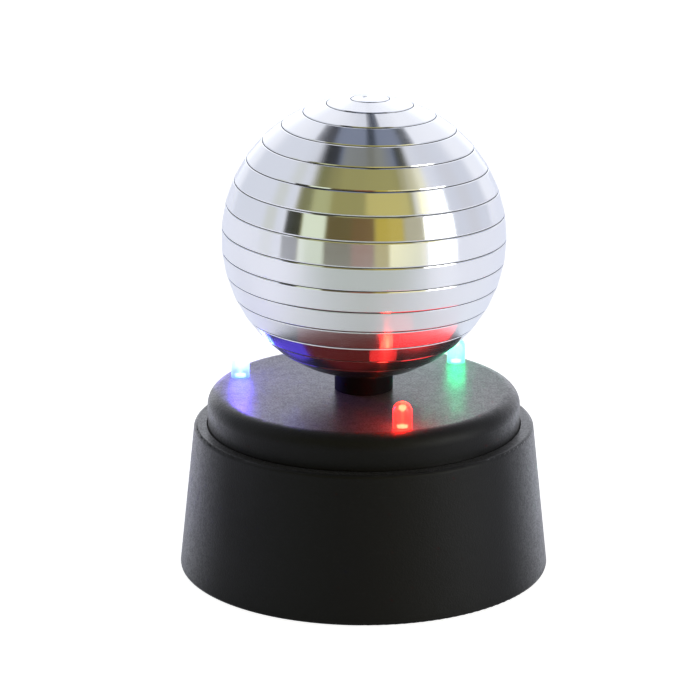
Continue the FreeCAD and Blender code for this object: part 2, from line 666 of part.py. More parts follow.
def make_gearbox():
    """Round case under the deck: a cup with three ears, a lid, and their screws."""
    bottom, rim = SIZES["case_bottom"], SIZES["case_rim"]
    floor_top = value("case_bottom + case_floor")
    case_x, case_y = SIZES["case_x"], SIZES["case_y"]
    centre = Vector(case_x, case_y, bottom)
    cup = Part.makeCylinder(SIZES["case_radius"], rim - bottom, centre)
    room_radius = value("case_radius - case_wall")
    cup = cup.cut(Part.makeCylinder(room_radius, rim, Vector(case_x, case_y, floor_top)))
    posts = [[value(text) for text in post_place(turn)] for turn in (0, 120, 240)]
    extra = [Part.makeCylinder(SIZES["ear_radius"], SIZES["ear_height"], Vector(x, y, bottom))
             for x, y in posts]
    room = Part.makeCylinder(room_radius, rim, Vector(case_x, case_y, floor_top))
    extra = [ear.cut(room) for ear in extra]
    extra += [Part.makeCylinder(SIZES["column_radius"], rim - bottom, Vector(x, y, bottom))
              for x, y in lid_column_spots()]
    cup = cup.fuse(extra)
    axles = [first_place(), second_place()]
    running = value("shaft_radius + shaft_clearance")
    cup = drill(cup, SIZES["axle_radius"], axles, bottom, 5)
    cup = drill(cup, running, [(0, 0)], bottom, 5)
    cup = drill(cup, SIZES["motor_boss_radius"], [motor_place()], bottom, 5)
    cup = drill(cup, SIZES["screw_radius"], posts, bottom, 5)
    cup = drill(cup, 0.8, lid_column_spots(), rim - 6, 7)
    cup = drill(cup, 1.0, motor_screw_spots(), bottom, 5)
    cup = drill(cup, 1.9, motor_screw_spots(), floor_top - 1, 5)
    made("gearbox_base", cup.removeSplitter())

    thick = SIZES["lid_thickness"]
    lid = Part.makeCylinder(SIZES["case_radius"], thick, Vector(case_x, case_y, rim))
    lid = drill(lid, SIZES["axle_radius"], axles, rim, thick)
    lid = drill(lid, value("shaft_radius + 1"), [(0, 0)], rim, thick)
    lid = drill(lid, 0.8, lid_column_spots(), rim, thick)
    made("gearbox_lid", lid)

    lid_screws, mount_screws, motor_screws = [], [], []
    for x, y in lid_column_spots():
        shank = Part.makeCylinder(0.8, thick + 5, Vector(x, y, rim - 5))
        head = Part.makeCylinder(1.6, 0.7, Vector(x, y, rim + thick))
        lid_screws.append(head.fuse(shank).removeSplitter())
    for x, y in posts:
        head = Part.makeCylinder(SIZES["screw_head_radius"], 1.6, Vector(x, y, bottom - 1.6))
        shank = Part.makeCylinder(SIZES["screw_radius"], 8, Vector(x, y, bottom))
        mount_screws.append(head.fuse(shank).removeSplitter())
    for x, y in motor_screw_spots():
        head = Part.makeCylinder(1.8, 0.9, Vector(x, y, floor_top - 1))
        shank = Part.makeCylinder(1.0, 2.4, Vector(x, y, floor_top - 3.4))
        motor_screws.append(head.fuse(shank).removeSplitter())
    made("gearbox_lid_screws", Part.makeCompound(lid_screws))
    made("gearbox_mount_screws", Part.makeCompound(mount_screws))
    made("motor_screws", Part.makeCompound(motor_screws))


def make_motor():
    """Flat round motor hung under the case: can, magnet ring, end cap, armature and shaft."""
    x, y = motor_place()
    bottom, top = SIZES["motor_bottom"], SIZES["case_bottom"]
    height = top - bottom
    radius, wall = SIZES["motor_radius"], SIZES["motor_wall"]
    cap = 1.6
    running = value("motor_shaft_radius + shaft_clearance")
    can = Part.makeCylinder(radius, height - cap, Vector(0, 0, cap))
    can = can.fuse(Part.makeCylinder(SIZES["motor_boss_radius"], SIZES["case_floor"],
                                     Vector(0, 0, height)))
    can = can.cut(Part.makeCylinder(radius - wall, height - cap - wall, Vector(0, 0, cap)))
    can = can.cut(Part.makeCylinder(running, 2 * height))
    can = can.cut([Part.makeCylinder(1.0, 3, Vector(sx - x, sy - y, height - 2))
                   for sx, sy in motor_screw_spots()])
    made("motor_can", can.removeSplitter(), x, y, bottom)
    cap_shape = Part.makeCylinder(radius, cap).cut(Part.makeCylinder(running, cap))
    made("motor_end_cap", cap_shape, x, y, bottom)
    inner = radius - wall - SIZES["magnet_thickness"]
    magnet = Part.makeCylinder(radius - wall, 6, Vector(0, 0, cap + 0.6))
    made("motor_magnet", magnet.cut(Part.makeCylinder(inner, 10)), x, y, bottom)
    armature = Part.makeCylinder(SIZES["armature_radius"], SIZES["armature_height"])
    slots = []
    for turn in (0, 120, 240):
        slot = Part.makeBox(6, 1.6, 10, Vector(4, -0.8, -1))
        slot.rotate(Vector(), Vector(0, 0, 1), turn)
        slots.append(slot)
    armature = armature.cut(slots + [Part.makeCylinder(SIZES["motor_shaft_radius"], 10)])
    made("motor_armature", armature, x, y, bottom + cap + 1.1)
    shaft_height = value("first_level + gear_width + 0.4 - motor_bottom")
    made("motor_shaft", Part.makeCylinder(SIZES["motor_shaft_radius"], shaft_height - 0.2), x, y,
         bottom + 0.2)


# ---------------------------------------------------------------- ball

def make_shaft():
    """Steel output shaft with a flat at its top, and the bush that guides it in the deck."""
    round_bar = rod("shaft_bar", "shaft_radius", "shaft_top - shaft_bottom", 0, 0, "shaft_bottom")
    flat = block("shaft_flat_cut", "2", "6", "shaft_top", "shaft_flat + 1", 0, "hub_bottom + 1")
    piece(cut("output_shaft", round_bar, [flat]), "output_shaft")
    tube = fuse("bush_blank", [
        rod("bush_tube", "bush_radius", "deck_wall", 0, 0, DECK_UNDER),
        rod("bush_flange", "bush_flange_radius", "0.8", 0, 0, DECK_UNDER + " - 0.8")])
    bore = rod("bush_bore", "shaft_radius + shaft_clearance", "10", 0, 0, DECK_UNDER + " - 2")
    piece(cut("shaft_bush", tube, [bore]), "shaft_bush")


def make_hub():
    """Black hub under the ball; its spigot passes into the shell and takes a nut."""
    collar = cut("hub_collar", rod("hub_bar", "hub_radius", "10", 0, 0, "hub_bottom"),
                 [ball("hub_hollow", "core_radius", "ball_height")])
    spigot = rod("hub_spigot", "spigot_radius", "spigot_top - hub_bottom - 1", 0, 0,
                 "hub_bottom + 1")
    bore = rod("hub_bore", "shaft_radius", "shaft_top - hub_bottom + 0.2", 0, 0, "hub_bottom")
    flat = block("hub_key", "2", "6", "shaft_top", "shaft_flat + 1", 0, "hub_bottom + 1")
    d_bore = cut("hub_d_bore", bore, [flat])
    piece(cut("ball_hub", fuse("hub_blank", [collar, spigot]), [d_bore]), "ball_hub")
    nut = bind(doc.addObject("Part::Prism", "nut_prism"), Circumradius="nut_width",
               Height="nut_height")
    nut.Polygon = 6
    inner = "core_radius - core_wall"
    seat = "ball_height - sqrt((%s) * (%s) - nut_width * nut_width) + 0.05" % (inner, inner)
    place(nut, 0, 0, seat)
    bore = rod("nut_bore", "spigot_radius", "3 * nut_height", 0, 0, seat + " - nut_height")
    piece(cut("hub_nut", nut, [bore]), "hub_nut")


def make_shells():
    """Two plastic half shells; the lower one has a lip inside the seam and the hub's hole."""
    span = "2 * core_radius"
    for half, base in (("upper", "ball_height"), ("lower", "ball_height - core_radius - 1")):
        outer = ball(half + "_outer", "core_radius", "ball_height")
        keep = block(half + "_keep", span + " + 4", span + " + 4", "core_radius + 1", 0, 0, base)
        dome = doc.addObject("Part::Common", half + "_dome")
        dome.Base, dome.Tool = outer, keep
        shell = cut(half + "_shell", dome,
                    [ball(half + "_inner", "core_radius - core_wall", "ball_height")])
        if half == "upper":
            piece(shell, "ball_upper_shell")
            continue
        lip = cut("lip_ring", rod("lip_outer", "lip_radius", "9", 0, 0, "ball_height - 6"),
                  [rod("lip_inner", "lip_radius - lip_wall", "9", 0, 0, "ball_height - 6")])
        hole = rod("hub_hole", "spigot_radius", "8", 0, 0, "ball_height - core_radius - 1")
        piece(cut("ball_lower_shell", fuse("lower_with_lip", [shell, lip]), [hole]),
              "ball_lower_shell")


def make_mirror_strip():
    """Mirror strip wound round the shells: flat bands whose edges lie on the ball's sphere."""
    corners = [("0", "ball_height + ball_radius * sin(lowest_band)")]
    bands = int(round((90 - SIZES["lowest_band"]) / SIZES["band_angle"]))
    for band in range(bands + 1):
        latitude = "(lowest_band + %d * band_angle)" % band
        if SIZES["lowest_band"] + band * SIZES["band_angle"] < 90:
            corners.append(("ball_radius * cos(%s)" % latitude,
                            "ball_height + ball_radius * sin(%s)" % latitude))
    corners.append(("0", "ball_height + ball_radius"))
    bands_body = turned_body("strip_bands", corners)
    inner = ball("strip_hollow", "ball_radius - strip_thickness", "ball_height")
    opening = rod("strip_opening", "hub_radius + 0.05", "4", 0, 0, "ball_height - ball_radius - 1")
    piece(cut("mirror_strip", bands_body, [inner, opening]), "mirror_strip")


# ---------------------------------------------------------------- build

def check_and_write():
    """Stop on any failed object or unsound shape, then write one STEP file for each sub-part."""
    doc.recompute()
    for thing in doc.Objects:
        if "Invalid" in thing.State or "Error" in thing.State:
            raise RuntimeError("%s failed: %s" % (thing.Name, thing.State))
    for thing in pieces:
        if thing.Shape.isNull() or not thing.Shape.isValid():
            raise RuntimeError("%s has no sound shape" % thing.Label)
    os.makedirs("parts", exist_ok=True)
    for thing in pieces:
        shape = thing.Shape
        shape.exportStep("parts/%s.step" % thing.Label)
        print("%-22s %2d solid(s) %9.1f mm3" % (thing.Label, len(shape.Solids), shape.Volume))
    print(len(pieces), "sub-parts")


make_housing()
make_top_cover()
make_bottom_plate()
make_base_screws()
make_feet()
make_door()
make_cells()
make_contacts()
make_switch()
make_board()
make_leds()
make_wires()
make_gearbox()
make_gear_train()
make_motor()
make_shaft()
make_hub()
make_shells()
make_mirror_strip()
check_and_write()
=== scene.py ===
# %% [markdown]
# # A motor-driven mirror ball on a black battery base
# The real toy is a hollow ball wrapped in one long strip of mirror film. A small
# gear motor in the base turns it, and three lamps in the deck throw colour on it.
# The CAD model gives every hard part its exact place. This lesson adds what CAD
# leaves out: the film's true spiral, the lamps, the coil springs and every finish.

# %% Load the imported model
import math
import bmesh
import bpy
import numpy as np
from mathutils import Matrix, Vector


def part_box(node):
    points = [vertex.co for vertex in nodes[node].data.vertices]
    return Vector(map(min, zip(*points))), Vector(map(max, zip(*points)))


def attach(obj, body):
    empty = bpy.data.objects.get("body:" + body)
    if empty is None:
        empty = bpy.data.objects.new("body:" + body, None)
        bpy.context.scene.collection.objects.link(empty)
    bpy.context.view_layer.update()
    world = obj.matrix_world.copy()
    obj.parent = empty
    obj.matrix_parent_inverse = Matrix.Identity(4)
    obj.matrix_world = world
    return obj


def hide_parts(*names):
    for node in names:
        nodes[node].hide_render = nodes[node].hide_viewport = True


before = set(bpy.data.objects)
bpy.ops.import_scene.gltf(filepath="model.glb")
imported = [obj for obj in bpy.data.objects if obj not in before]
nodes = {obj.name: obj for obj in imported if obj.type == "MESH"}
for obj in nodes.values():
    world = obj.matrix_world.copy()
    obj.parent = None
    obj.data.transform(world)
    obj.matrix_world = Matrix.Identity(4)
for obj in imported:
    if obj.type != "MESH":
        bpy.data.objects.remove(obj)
scene = bpy.context.scene
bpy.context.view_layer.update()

# %% [markdown]
# ## Units and places
# Everything is in metres, as Blender likes it, while a desk toy is thought of in
# millimetres, so one constant turns one into the other. The places come from the
# CAD nodes themselves, so a change there carries over to the looks.

# %% Units and places
MM = 0.001


def size_of(name):
    """The lowest corner, the highest corner and the middle of a CAD node."""
    low, high = (np.array(corner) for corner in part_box(name))
    return low, high, (low + high) / 2


strip_low, strip_high, _ = size_of("mirror_strip")
BALL_RADIUS = (strip_high[0] - strip_low[0]) / 2
BALL_CENTRE = np.array([0, 0, strip_high[2] - BALL_RADIUS])
print("ball radius", BALL_RADIUS / MM, "centre height", BALL_CENTRE[2] / MM)

# %% [markdown]
# ## From a grid of points to a mesh
# Every new piece here is a surface worked out with numpy as a grid of points. One
# helper turns such a grid into faces: four neighbouring points make a square. It
# can join the last row to the first, join the last column to the first, and close
# the two ends with a flat face. Points that meet at a pole are merged at the end.

# %% The mesh helper
def grid_faces(rows, columns, wrap_rows, wrap_columns):
    """Corner numbers of all squares: point (i, j) has the number i * columns + j."""
    last_i = rows if wrap_rows else rows - 1
    last_j = columns if wrap_columns else columns - 1
    i, j = (a.ravel() for a in np.meshgrid(np.arange(last_i), np.arange(last_j),
                                           indexing="ij"))
    k, m = (i + 1) % rows, (j + 1) % columns
    return np.stack([i * columns + j, k * columns + j, k * columns + m, i * columns + m], 1)


def surface(name, points, wrap_rows=False, wrap_columns=True, cap_ends=False,
            sharp=35, uv=None):
    """A mesh object from points[row, column] = (x, y, z), its faces turned outwards.
    sharp is the angle in degrees past which an edge stays crisp."""
    rows, columns = points.shape[:2]
    faces = grid_faces(rows, columns, wrap_rows, wrap_columns)
    polygons = faces.tolist()
    if cap_ends:
        polygons += [list(range(columns)), list(range((rows - 1) * columns, rows * columns))]
    mesh = bpy.data.meshes.new(name)
    mesh.from_pydata(points.reshape(-1, 3).tolist(), [], polygons)
    if uv is not None:
        layer = mesh.attributes.new("along_across", "FLOAT2", "POINT")
        layer.data.foreach_set("vector", uv.reshape(-1).astype(np.float32))
    work = bmesh.new()
    work.from_mesh(mesh)
    bmesh.ops.remove_doubles(work, verts=work.verts, dist=1e-6)
    bmesh.ops.recalc_face_normals(work, faces=work.faces)
    volume = work.calc_volume(signed=True)
    if volume < 0:
        bmesh.ops.reverse_faces(work, faces=work.faces)
    work.to_mesh(mesh)
    work.free()
    mesh.shade_smooth()
    mesh.set_sharp_from_angle(angle=math.radians(sharp))
    made = bpy.data.objects.new(name, mesh)
    scene.collection.objects.link(made)
    print(name, len(mesh.polygons), "faces,", round(abs(volume) * 1e9, 1), "mm3")
    return made


def lathe(name, profile, centre=(0, 0), turns=96, **options):
    """Turns a profile of (radius, height) about an upright axis through centre: the
    point at angle a is (x0 + radius cos a, y0 + radius sin a, height)."""
    profile = np.asarray(profile, float)
    angle = np.linspace(0, 2 * math.pi, turns, endpoint=False)[:, None]
    radius, height = profile[None, :, 0], profile[None, :, 1]
    points = np.stack([centre[0] + radius * np.cos(angle), centre[1] + radius * np.sin(angle),
                       height + 0 * angle], 2)
    return surface(name, points, wrap_rows=True, wrap_columns=False, **options)


def arc(centre, radius, start, stop, steps=10):
    """Points (radius, height) on a circle's arc, from angle start to stop in degrees."""
    a = np.radians(np.linspace(start, stop, steps))
    return np.stack([centre[0] + radius * np.cos(a), centre[1] + radius * np.sin(a)], 1)


# %% [markdown]
# ## Small helpers for shader nodes
# A procedural material is a network of small nodes. A few helpers keep the network
# readable: one adds any node and links or sets its inputs, and others stand for the
# nodes that are used most: a sum, a mix of two colours, a colour ramp, a soft step,
# and a node group with named sockets. A value that varies over the surface travels
# through links. A value that is the same all over is set on the shader's own socket.

# %% The node helpers
def add(tree, kind, inputs=None, **settings):
    """Adds one node. Each input is a plain value, or another node's output to link."""
    made = tree.nodes.new(kind)
    for key, value in settings.items():
        setattr(made, key, value)
    for key, value in (inputs or {}).items():
        if isinstance(value, bpy.types.NodeSocket):
            tree.links.new(value, made.inputs[key])
        else:
            made.inputs[key].default_value = value
    return made


def maths(tree, operation, *values):
    """One Math node's answer from one, two or three values or outputs."""
    return add(tree, "ShaderNodeMath", dict(enumerate(values)), operation=operation).outputs[0]


def blend(tree, share, first, second, mode="MIX"):
    """Mixes two colours: share 0 gives the first and 1 gives the second."""
    mix = tree.nodes.new("ShaderNodeMix")
    mix.data_type, mix.blend_type = "RGBA", mode
    for socket, value in ((mix.inputs[0], share), (mix.inputs[6], first),
                          (mix.inputs[7], second)):
        if isinstance(value, bpy.types.NodeSocket):
            tree.links.new(value, socket)
        else:
            socket.default_value = value
    return mix.outputs[2]


def ramp(tree, share, stops):
    """A colour ramp, straight between its stops, a list of (position, colour)."""
    made = add(tree, "ShaderNodeValToRGB", {"Fac": share})
    while len(made.color_ramp.elements) < len(stops):
        made.color_ramp.elements.new(0.5)
    for element, (position, colour) in zip(made.color_ramp.elements, stops):
        element.position, element.color = position, colour
    return made.outputs[0]


def between(tree, value, low, high):
    """0 below low, 1 above high, smooth in between."""
    return add(tree, "ShaderNodeMapRange", {"Value": value, "From Min": low, "From Max": high},
               interpolation_type="SMOOTHSTEP").outputs[0]


def grey(level):
    """A neutral colour of one level."""
    return (level, level, level, 1)


def new_group(name, inputs, outputs):
    """An empty node group with named sockets; returns its tree, its inputs as outputs
    to read from, and its output node's inputs to feed."""
    kinds = {"value": "NodeSocketFloat", "colour": "NodeSocketColor",
             "vector": "NodeSocketVector"}
    group = bpy.data.node_groups.new(name, "ShaderNodeTree")
    for label, (kind, start) in inputs.items():
        socket = group.interface.new_socket(name=label, in_out="INPUT",
                                            socket_type=kinds[kind])
        if start is not None:
            socket.default_value = start
    for label, kind in outputs.items():
        group.interface.new_socket(name=label, in_out="OUTPUT", socket_type=kinds[kind])
    return (group, group.nodes.new("NodeGroupInput").outputs,
            group.nodes.new("NodeGroupOutput").inputs)


def use(tree, group, **inputs):
    """Places a node group; a name such as Grain_size stands for the input Grain size."""
    made = add(tree, "ShaderNodeGroup", node_tree=group)
    for key, value in inputs.items():
        socket = made.inputs[key.replace("_", " ")]
        if isinstance(value, bpy.types.NodeSocket):
            tree.links.new(value, socket)
        else:
            socket.default_value = value
    return made.outputs


# %% [markdown]
# ## Effect: spark grain
# Moulded plastic takes its skin from the steel mould, which is eroded by sparks to
# a fine grain. Two noises, one at the grain's size and one four times larger, give
# its height. The same pattern makes a point here and there a touch lighter.

# %% The spark grain group
spark_grain, given, out = new_group(
    "spark_grain",
    {"Colour": ("colour", grey(0.02)), "Roughness": ("value", 0.45),
     "Grain size": ("value", 0.4), "Speckle": ("value", 0.3)},
    {"Colour": "colour", "Roughness": "value", "Height": "value"})
place = add(spark_grain, "ShaderNodeTexCoord").outputs["Object"]
per_metre = maths(spark_grain, "DIVIDE", 1000, given["Grain size"])
fine = add(spark_grain, "ShaderNodeTexNoise", {"Vector": place, "Scale": per_metre,
                                               "Detail": 2.0, "Roughness": 0.6})
coarse = add(spark_grain, "ShaderNodeTexNoise",
             {"Vector": place, "Scale": maths(spark_grain, "MULTIPLY", per_metre, 0.25),
              "Detail": 3.0})
cloud = add(spark_grain, "ShaderNodeTexNoise", {"Vector": place, "Scale": 60.0, "Detail": 4.0})
height = maths(spark_grain, "ADD", maths(spark_grain, "MULTIPLY", fine.outputs[0], 0.7),
               maths(spark_grain, "MULTIPLY", coarse.outputs[0], 0.3))
bright = between(spark_grain, fine.outputs[0], 0.55, 0.75)
lighter = blend(spark_grain, 1.0, given["Colour"], grey(1.8), "MULTIPLY")
spark_grain.links.new(blend(spark_grain, maths(spark_grain, "MULTIPLY", bright,
                                               given["Speckle"]),
                            given["Colour"], lighter), out["Colour"])
spark_grain.links.new(maths(spark_grain, "ADD", given["Roughness"], maths(
    spark_grain, "MULTIPLY", maths(spark_grain, "SUBTRACT", cloud.outputs[0], 0.5), 0.16)),
    out["Roughness"])
spark_grain.links.new(height, out["Height"])
print("group", spark_grain.name)

# %% [markdown]
# ## Effect: handling
# A toy that is picked up gathers faint smudges and a few hair scratches. The group
# takes a colour and a roughness and gives both back, a little changed: smudges are
# a cloudy noise, scratches are thin bands of a stretched noise.

# %% The handling group
handling, given, out = new_group(
    "handling",
    {"Colour": ("colour", grey(0.5)), "Roughness": ("value", 0.4),
     "Smudges": ("value", 0.5), "Scratches": ("value", 0.3)},
    {"Colour": "colour", "Roughness": "value"})
place = add(handling, "ShaderNodeTexCoord").outputs["Object"]
smudge = between(handling, add(handling, "ShaderNodeTexNoise", {
    "Vector": place, "Scale": 45.0, "Detail": 5.0, "Roughness": 0.65}).outputs[0], 0.5, 0.75)
stretched = add(handling, "ShaderNodeMapping", {"Vector": place, "Rotation": (0.4, 0.7, 0.3),
                                                "Scale": (90.0, 90.0, 3500.0)})
hair = between(handling, add(handling, "ShaderNodeTexNoise", {
    "Vector": stretched.outputs[0], "Scale": 1.0, "Detail": 1.0}).outputs[0], 0.72, 0.76)
rougher = maths(handling, "ADD", given["Roughness"], maths(
    handling, "MULTIPLY", maths(handling, "MULTIPLY", smudge, given["Smudges"]), 0.12))
handling.links.new(maths(handling, "ADD", rougher, maths(
    handling, "MULTIPLY", maths(handling, "MULTIPLY", hair, given["Scratches"]), 0.15)),
    out["Roughness"])
handling.links.new(blend(handling, maths(handling, "MULTIPLY", hair, given["Scratches"]),
                         given["Colour"], blend(handling, 0.04, given["Colour"], grey(0.6))),
                   out["Colour"])
print("group", handling.name)

# %% [markdown]
# ## Effect: tool marks
# Turned and drawn metal keeps the lines of the tool that cut it. Thin bands of
# noise, very long in one direction and very short in the other, give such lines.
# The input Stretch says in which direction they are short.

# %% The tool marks group
tool_marks, given, out = new_group(
    "tool_marks",
    {"Colour": ("colour", grey(0.6)), "Roughness": ("value", 0.3),
     "Stretch": ("vector", (200.0, 200.0, 9000.0)), "Tarnish": ("value", 0.2)},
    {"Colour": "colour", "Roughness": "value", "Height": "value"})
place = add(tool_marks, "ShaderNodeTexCoord").outputs["Object"]
lines = add(tool_marks, "ShaderNodeTexNoise", {
    "Vector": add(tool_marks, "ShaderNodeVectorMath", {0: place, 1: given["Stretch"]},
                  operation="MULTIPLY").outputs[0], "Scale": 1.0, "Detail": 3.0}).outputs[0]
stain = between(tool_marks, add(tool_marks, "ShaderNodeTexNoise", {
    "Vector": place, "Scale": 220.0, "Detail": 4.0}).outputs[0], 0.45, 0.7)
tool_marks.links.new(blend(tool_marks, maths(tool_marks, "MULTIPLY", stain, given["Tarnish"]),
                           given["Colour"],
                           blend(tool_marks, 1.0, given["Colour"], (0.45, 0.4, 0.33, 1),
                                 "MULTIPLY")), out["Colour"])
tool_marks.links.new(maths(tool_marks, "ADD", given["Roughness"], maths(
    tool_marks, "MULTIPLY", maths(tool_marks, "SUBTRACT", lines, 0.5), 0.3)),
    out["Roughness"])
tool_marks.links.new(lines, out["Height"])
print("group", tool_marks.name)


# %% [markdown]
# ## Materials in two families
# Most parts are either moulded plastic or metal. Each family has one function that
# places the effect groups with that finish's own values in front of a Principled
# shader, which stays in the material itself.

# %% Plastic and metal
def new_material(name, **sockets):
    """A material with a Principled shader whose uniform values are set directly."""
    made = bpy.data.materials.new(name)
    made.use_nodes = True
    shader = made.node_tree.nodes["Principled BSDF"]
    for label, value in sockets.items():
        shader.inputs[label.replace("_", " ")].default_value = value
    return made, made.node_tree, shader


def bump(tree, shader, height, depth_mm):
    """Feeds a height through a Bump node into the shader's normal."""
    made = add(tree, "ShaderNodeBump", {"Height": height, "Distance": depth_mm * MM,
                                        "Strength": 1.0})
    tree.links.new(made.outputs[0], shader.inputs["Normal"])


def plastic(name, colour, roughness, grain, depth_mm, speckle=0.3, smudges=0.4,
            scratches=0.3, shine=None, **sockets):
    """Moulded plastic: spark grain, then handling, then the shader. shine is a pair of
    slants, 0 face on to 1 edge on, between which a grainy clear coat fades in."""
    made, tree, shader = new_material(name, **sockets)
    skin = use(tree, spark_grain, Colour=colour, Roughness=roughness, Grain_size=grain,
               Speckle=speckle)
    worn = use(tree, handling, Colour=skin["Colour"], Roughness=skin["Roughness"],
               Smudges=smudges, Scratches=scratches)
    tree.links.new(worn["Colour"], shader.inputs["Base Color"])
    tree.links.new(worn["Roughness"], shader.inputs["Roughness"])
    bump(tree, shader, skin["Height"], depth_mm)
    if shine:
        slant = between(tree, add(tree, "ShaderNodeLayerWeight").outputs["Facing"], *shine)
        peaks = between(tree, skin["Height"], 0.38, 0.62)
        tree.links.new(maths(tree, "MULTIPLY", slant, maths(
            tree, "ADD", 0.45, maths(tree, "MULTIPLY", peaks, 0.55))),
            shader.inputs["Coat Weight"])
    return made


def metal(name, colour, roughness, stretch=(200.0, 200.0, 9000.0), tarnish=0.2,
          depth_mm=0.004, **sockets):
    """Metal: tool marks, then handling, then the shader."""
    made, tree, shader = new_material(name, Metallic=1.0, **sockets)
    skin = use(tree, tool_marks, Colour=colour, Roughness=roughness, Stretch=stretch,
               Tarnish=tarnish)
    worn = use(tree, handling, Colour=skin["Colour"], Roughness=skin["Roughness"],
               Smudges=0.4, Scratches=0.4)
    tree.links.new(worn["Colour"], shader.inputs["Base Color"])
    tree.links.new(worn["Roughness"], shader.inputs["Roughness"])
    bump(tree, shader, skin["Height"], depth_mm)
    return made


finishes = {
    "black_plastic": plastic("black_plastic", (0.0045, 0.0044, 0.0046, 1), 0.46, 0.5, 0.09,
                             speckle=0.6, scratches=0.1, shine=(0.36, 0.8), IOR=1.29,
                             Coat_Roughness=0.3, Coat_IOR=1.8, Sheen_Weight=0.07,
                             Sheen_Roughness=0.35, Sheen_Tint=(0.9, 0.88, 1.0, 1)),
    "ball_plastic": plastic("ball_plastic", (0.09, 0.087, 0.085, 1), 0.5, 0.3, 0.01),
    "hub_plastic": plastic("hub_plastic", (0.002, 0.002, 0.0024, 1), 0.55, 0.3, 0.008, IOR=1.16,
                           scratches=0.1),
    "foot_rubber": plastic("foot_rubber", (0.03, 0.03, 0.032, 1), 0.75, 0.25, 0.02),
    "gear_plastic": plastic("gear_plastic", (0.78, 0.77, 0.7, 1), 0.38, 0.35, 0.004,
                            Subsurface_Weight=0.2, Subsurface_Scale=0.0005),
    "case_plastic": plastic("case_plastic", (0.28, 0.29, 0.31, 1), 0.42, 0.35, 0.01),
    "chip_plastic": plastic("chip_plastic", (0.02, 0.02, 0.021, 1), 0.55, 0.15, 0.006),
    "magnet_ferrite": plastic("magnet_ferrite", (0.05, 0.048, 0.047, 1), 0.6, 0.2, 0.01),
    "wire_red": plastic("wire_red", (0.5, 0.02, 0.015, 1), 0.35, 0.6, 0.004),
    "wire_black": plastic("wire_black", (0.02, 0.02, 0.02, 1), 0.35, 0.6, 0.004),
    "screw_steel": metal("screw_steel", (0.62, 0.62, 0.64, 1), 0.3),
    "shaft_steel": metal("shaft_steel", (0.7, 0.7, 0.72, 1), 0.18, tarnish=0.05),
    "bush_brass": metal("bush_brass", (0.62, 0.42, 0.2, 1), 0.35),
    "contact_nickel": metal("contact_nickel", (0.72, 0.69, 0.62, 1), 0.22,
                            stretch=(300.0, 6000.0, 300.0)),
    "motor_steel": metal("motor_steel", (0.6, 0.61, 0.62, 1), 0.28),
    "armature_metal": metal("armature_metal", (0.55, 0.3, 0.16, 1), 0.35,
                            stretch=(200.0, 200.0, 3500.0)),
}
print("finishes:", len(finishes))

# %% [markdown]
# ## Circuit board, battery jackets and wires
# The board is glass-fibre laminate with a green mask, under which the copper runs
# show as slightly raised, lighter lines. A grid of cell noise gives such runs. A
# battery has a printed jacket with a copper-coloured top band and bare ends.

# %% The board finish
made, tree, shader = new_material("board_laminate", Coat_Roughness=0.1, IOR=1.5)
place = add(tree, "ShaderNodeTexCoord").outputs["Object"]
cells = add(tree, "ShaderNodeTexVoronoi", {"Vector": place, "Scale": 420.0, "Randomness": 0.35},
            distance="CHEBYCHEV", feature="DISTANCE_TO_EDGE")
runs = between(tree, cells.outputs[0], 0.12, 0.17)
skin = use(tree, spark_grain, Colour=blend(tree, runs, (0.012, 0.11, 0.045, 1),
                                           (0.006, 0.06, 0.03, 1)),
           Roughness=0.35, Grain_size=0.3, Speckle=0.1)
tree.links.new(skin["Colour"], shader.inputs["Base Color"])
tree.links.new(skin["Roughness"], shader.inputs["Roughness"])
bump(tree, shader, runs, -0.02)
finishes["board_laminate"] = made

# %% The battery finish
made, tree, shader = new_material("cell_jacket", IOR=1.5)
BAND_AT, BARE_AT = 14.5 * MM, 21.8 * MM     # how far from the cell's middle each begins
PRINT_EDGE = 0.2 * MM
along = add(tree, "ShaderNodeSeparateXYZ",
            {"Vector": add(tree, "ShaderNodeTexCoord").outputs["Object"]}).outputs[0]
band = between(tree, maths(tree, "ABSOLUTE", along), BAND_AT, BAND_AT + PRINT_EDGE)
bare = between(tree, maths(tree, "ABSOLUTE", along), BARE_AT, BARE_AT + PRINT_EDGE)
skin = use(tree, handling, Colour=blend(tree, bare, blend(
    tree, band, (0.02, 0.022, 0.028, 1), (0.55, 0.27, 0.1, 1)), grey(0.66)),
    Roughness=0.28, Smudges=0.6, Scratches=0.5)
tree.links.new(skin["Colour"], shader.inputs["Base Color"])
tree.links.new(skin["Roughness"], shader.inputs["Roughness"])
tree.links.new(maths(tree, "MAXIMUM", maths(tree, "MULTIPLY", band, 0.7), bare),
               shader.inputs["Metallic"])
finishes["cell_jacket"] = made
print("finishes:", len(finishes))

# %% [markdown]
# ## The mirror strip
# The ball isn't tiled. One long strip of mirror film is wound round it from the top
# to the hub, falling one strip's width in each turn, so its edges make a single
# spiral seam. It could be a flat band bent by a Curve modifier, but the strip has to
# keep the ball's outline exactly, so its grid is computed: a closed cross-section of
# eight points is carried along the spiral. Across its width the film is flat, as a
# cooper's stave is, which gives each turn one clean band of reflection. Below the
# equator it was wound a little more tightly, so the turns lie closer there.

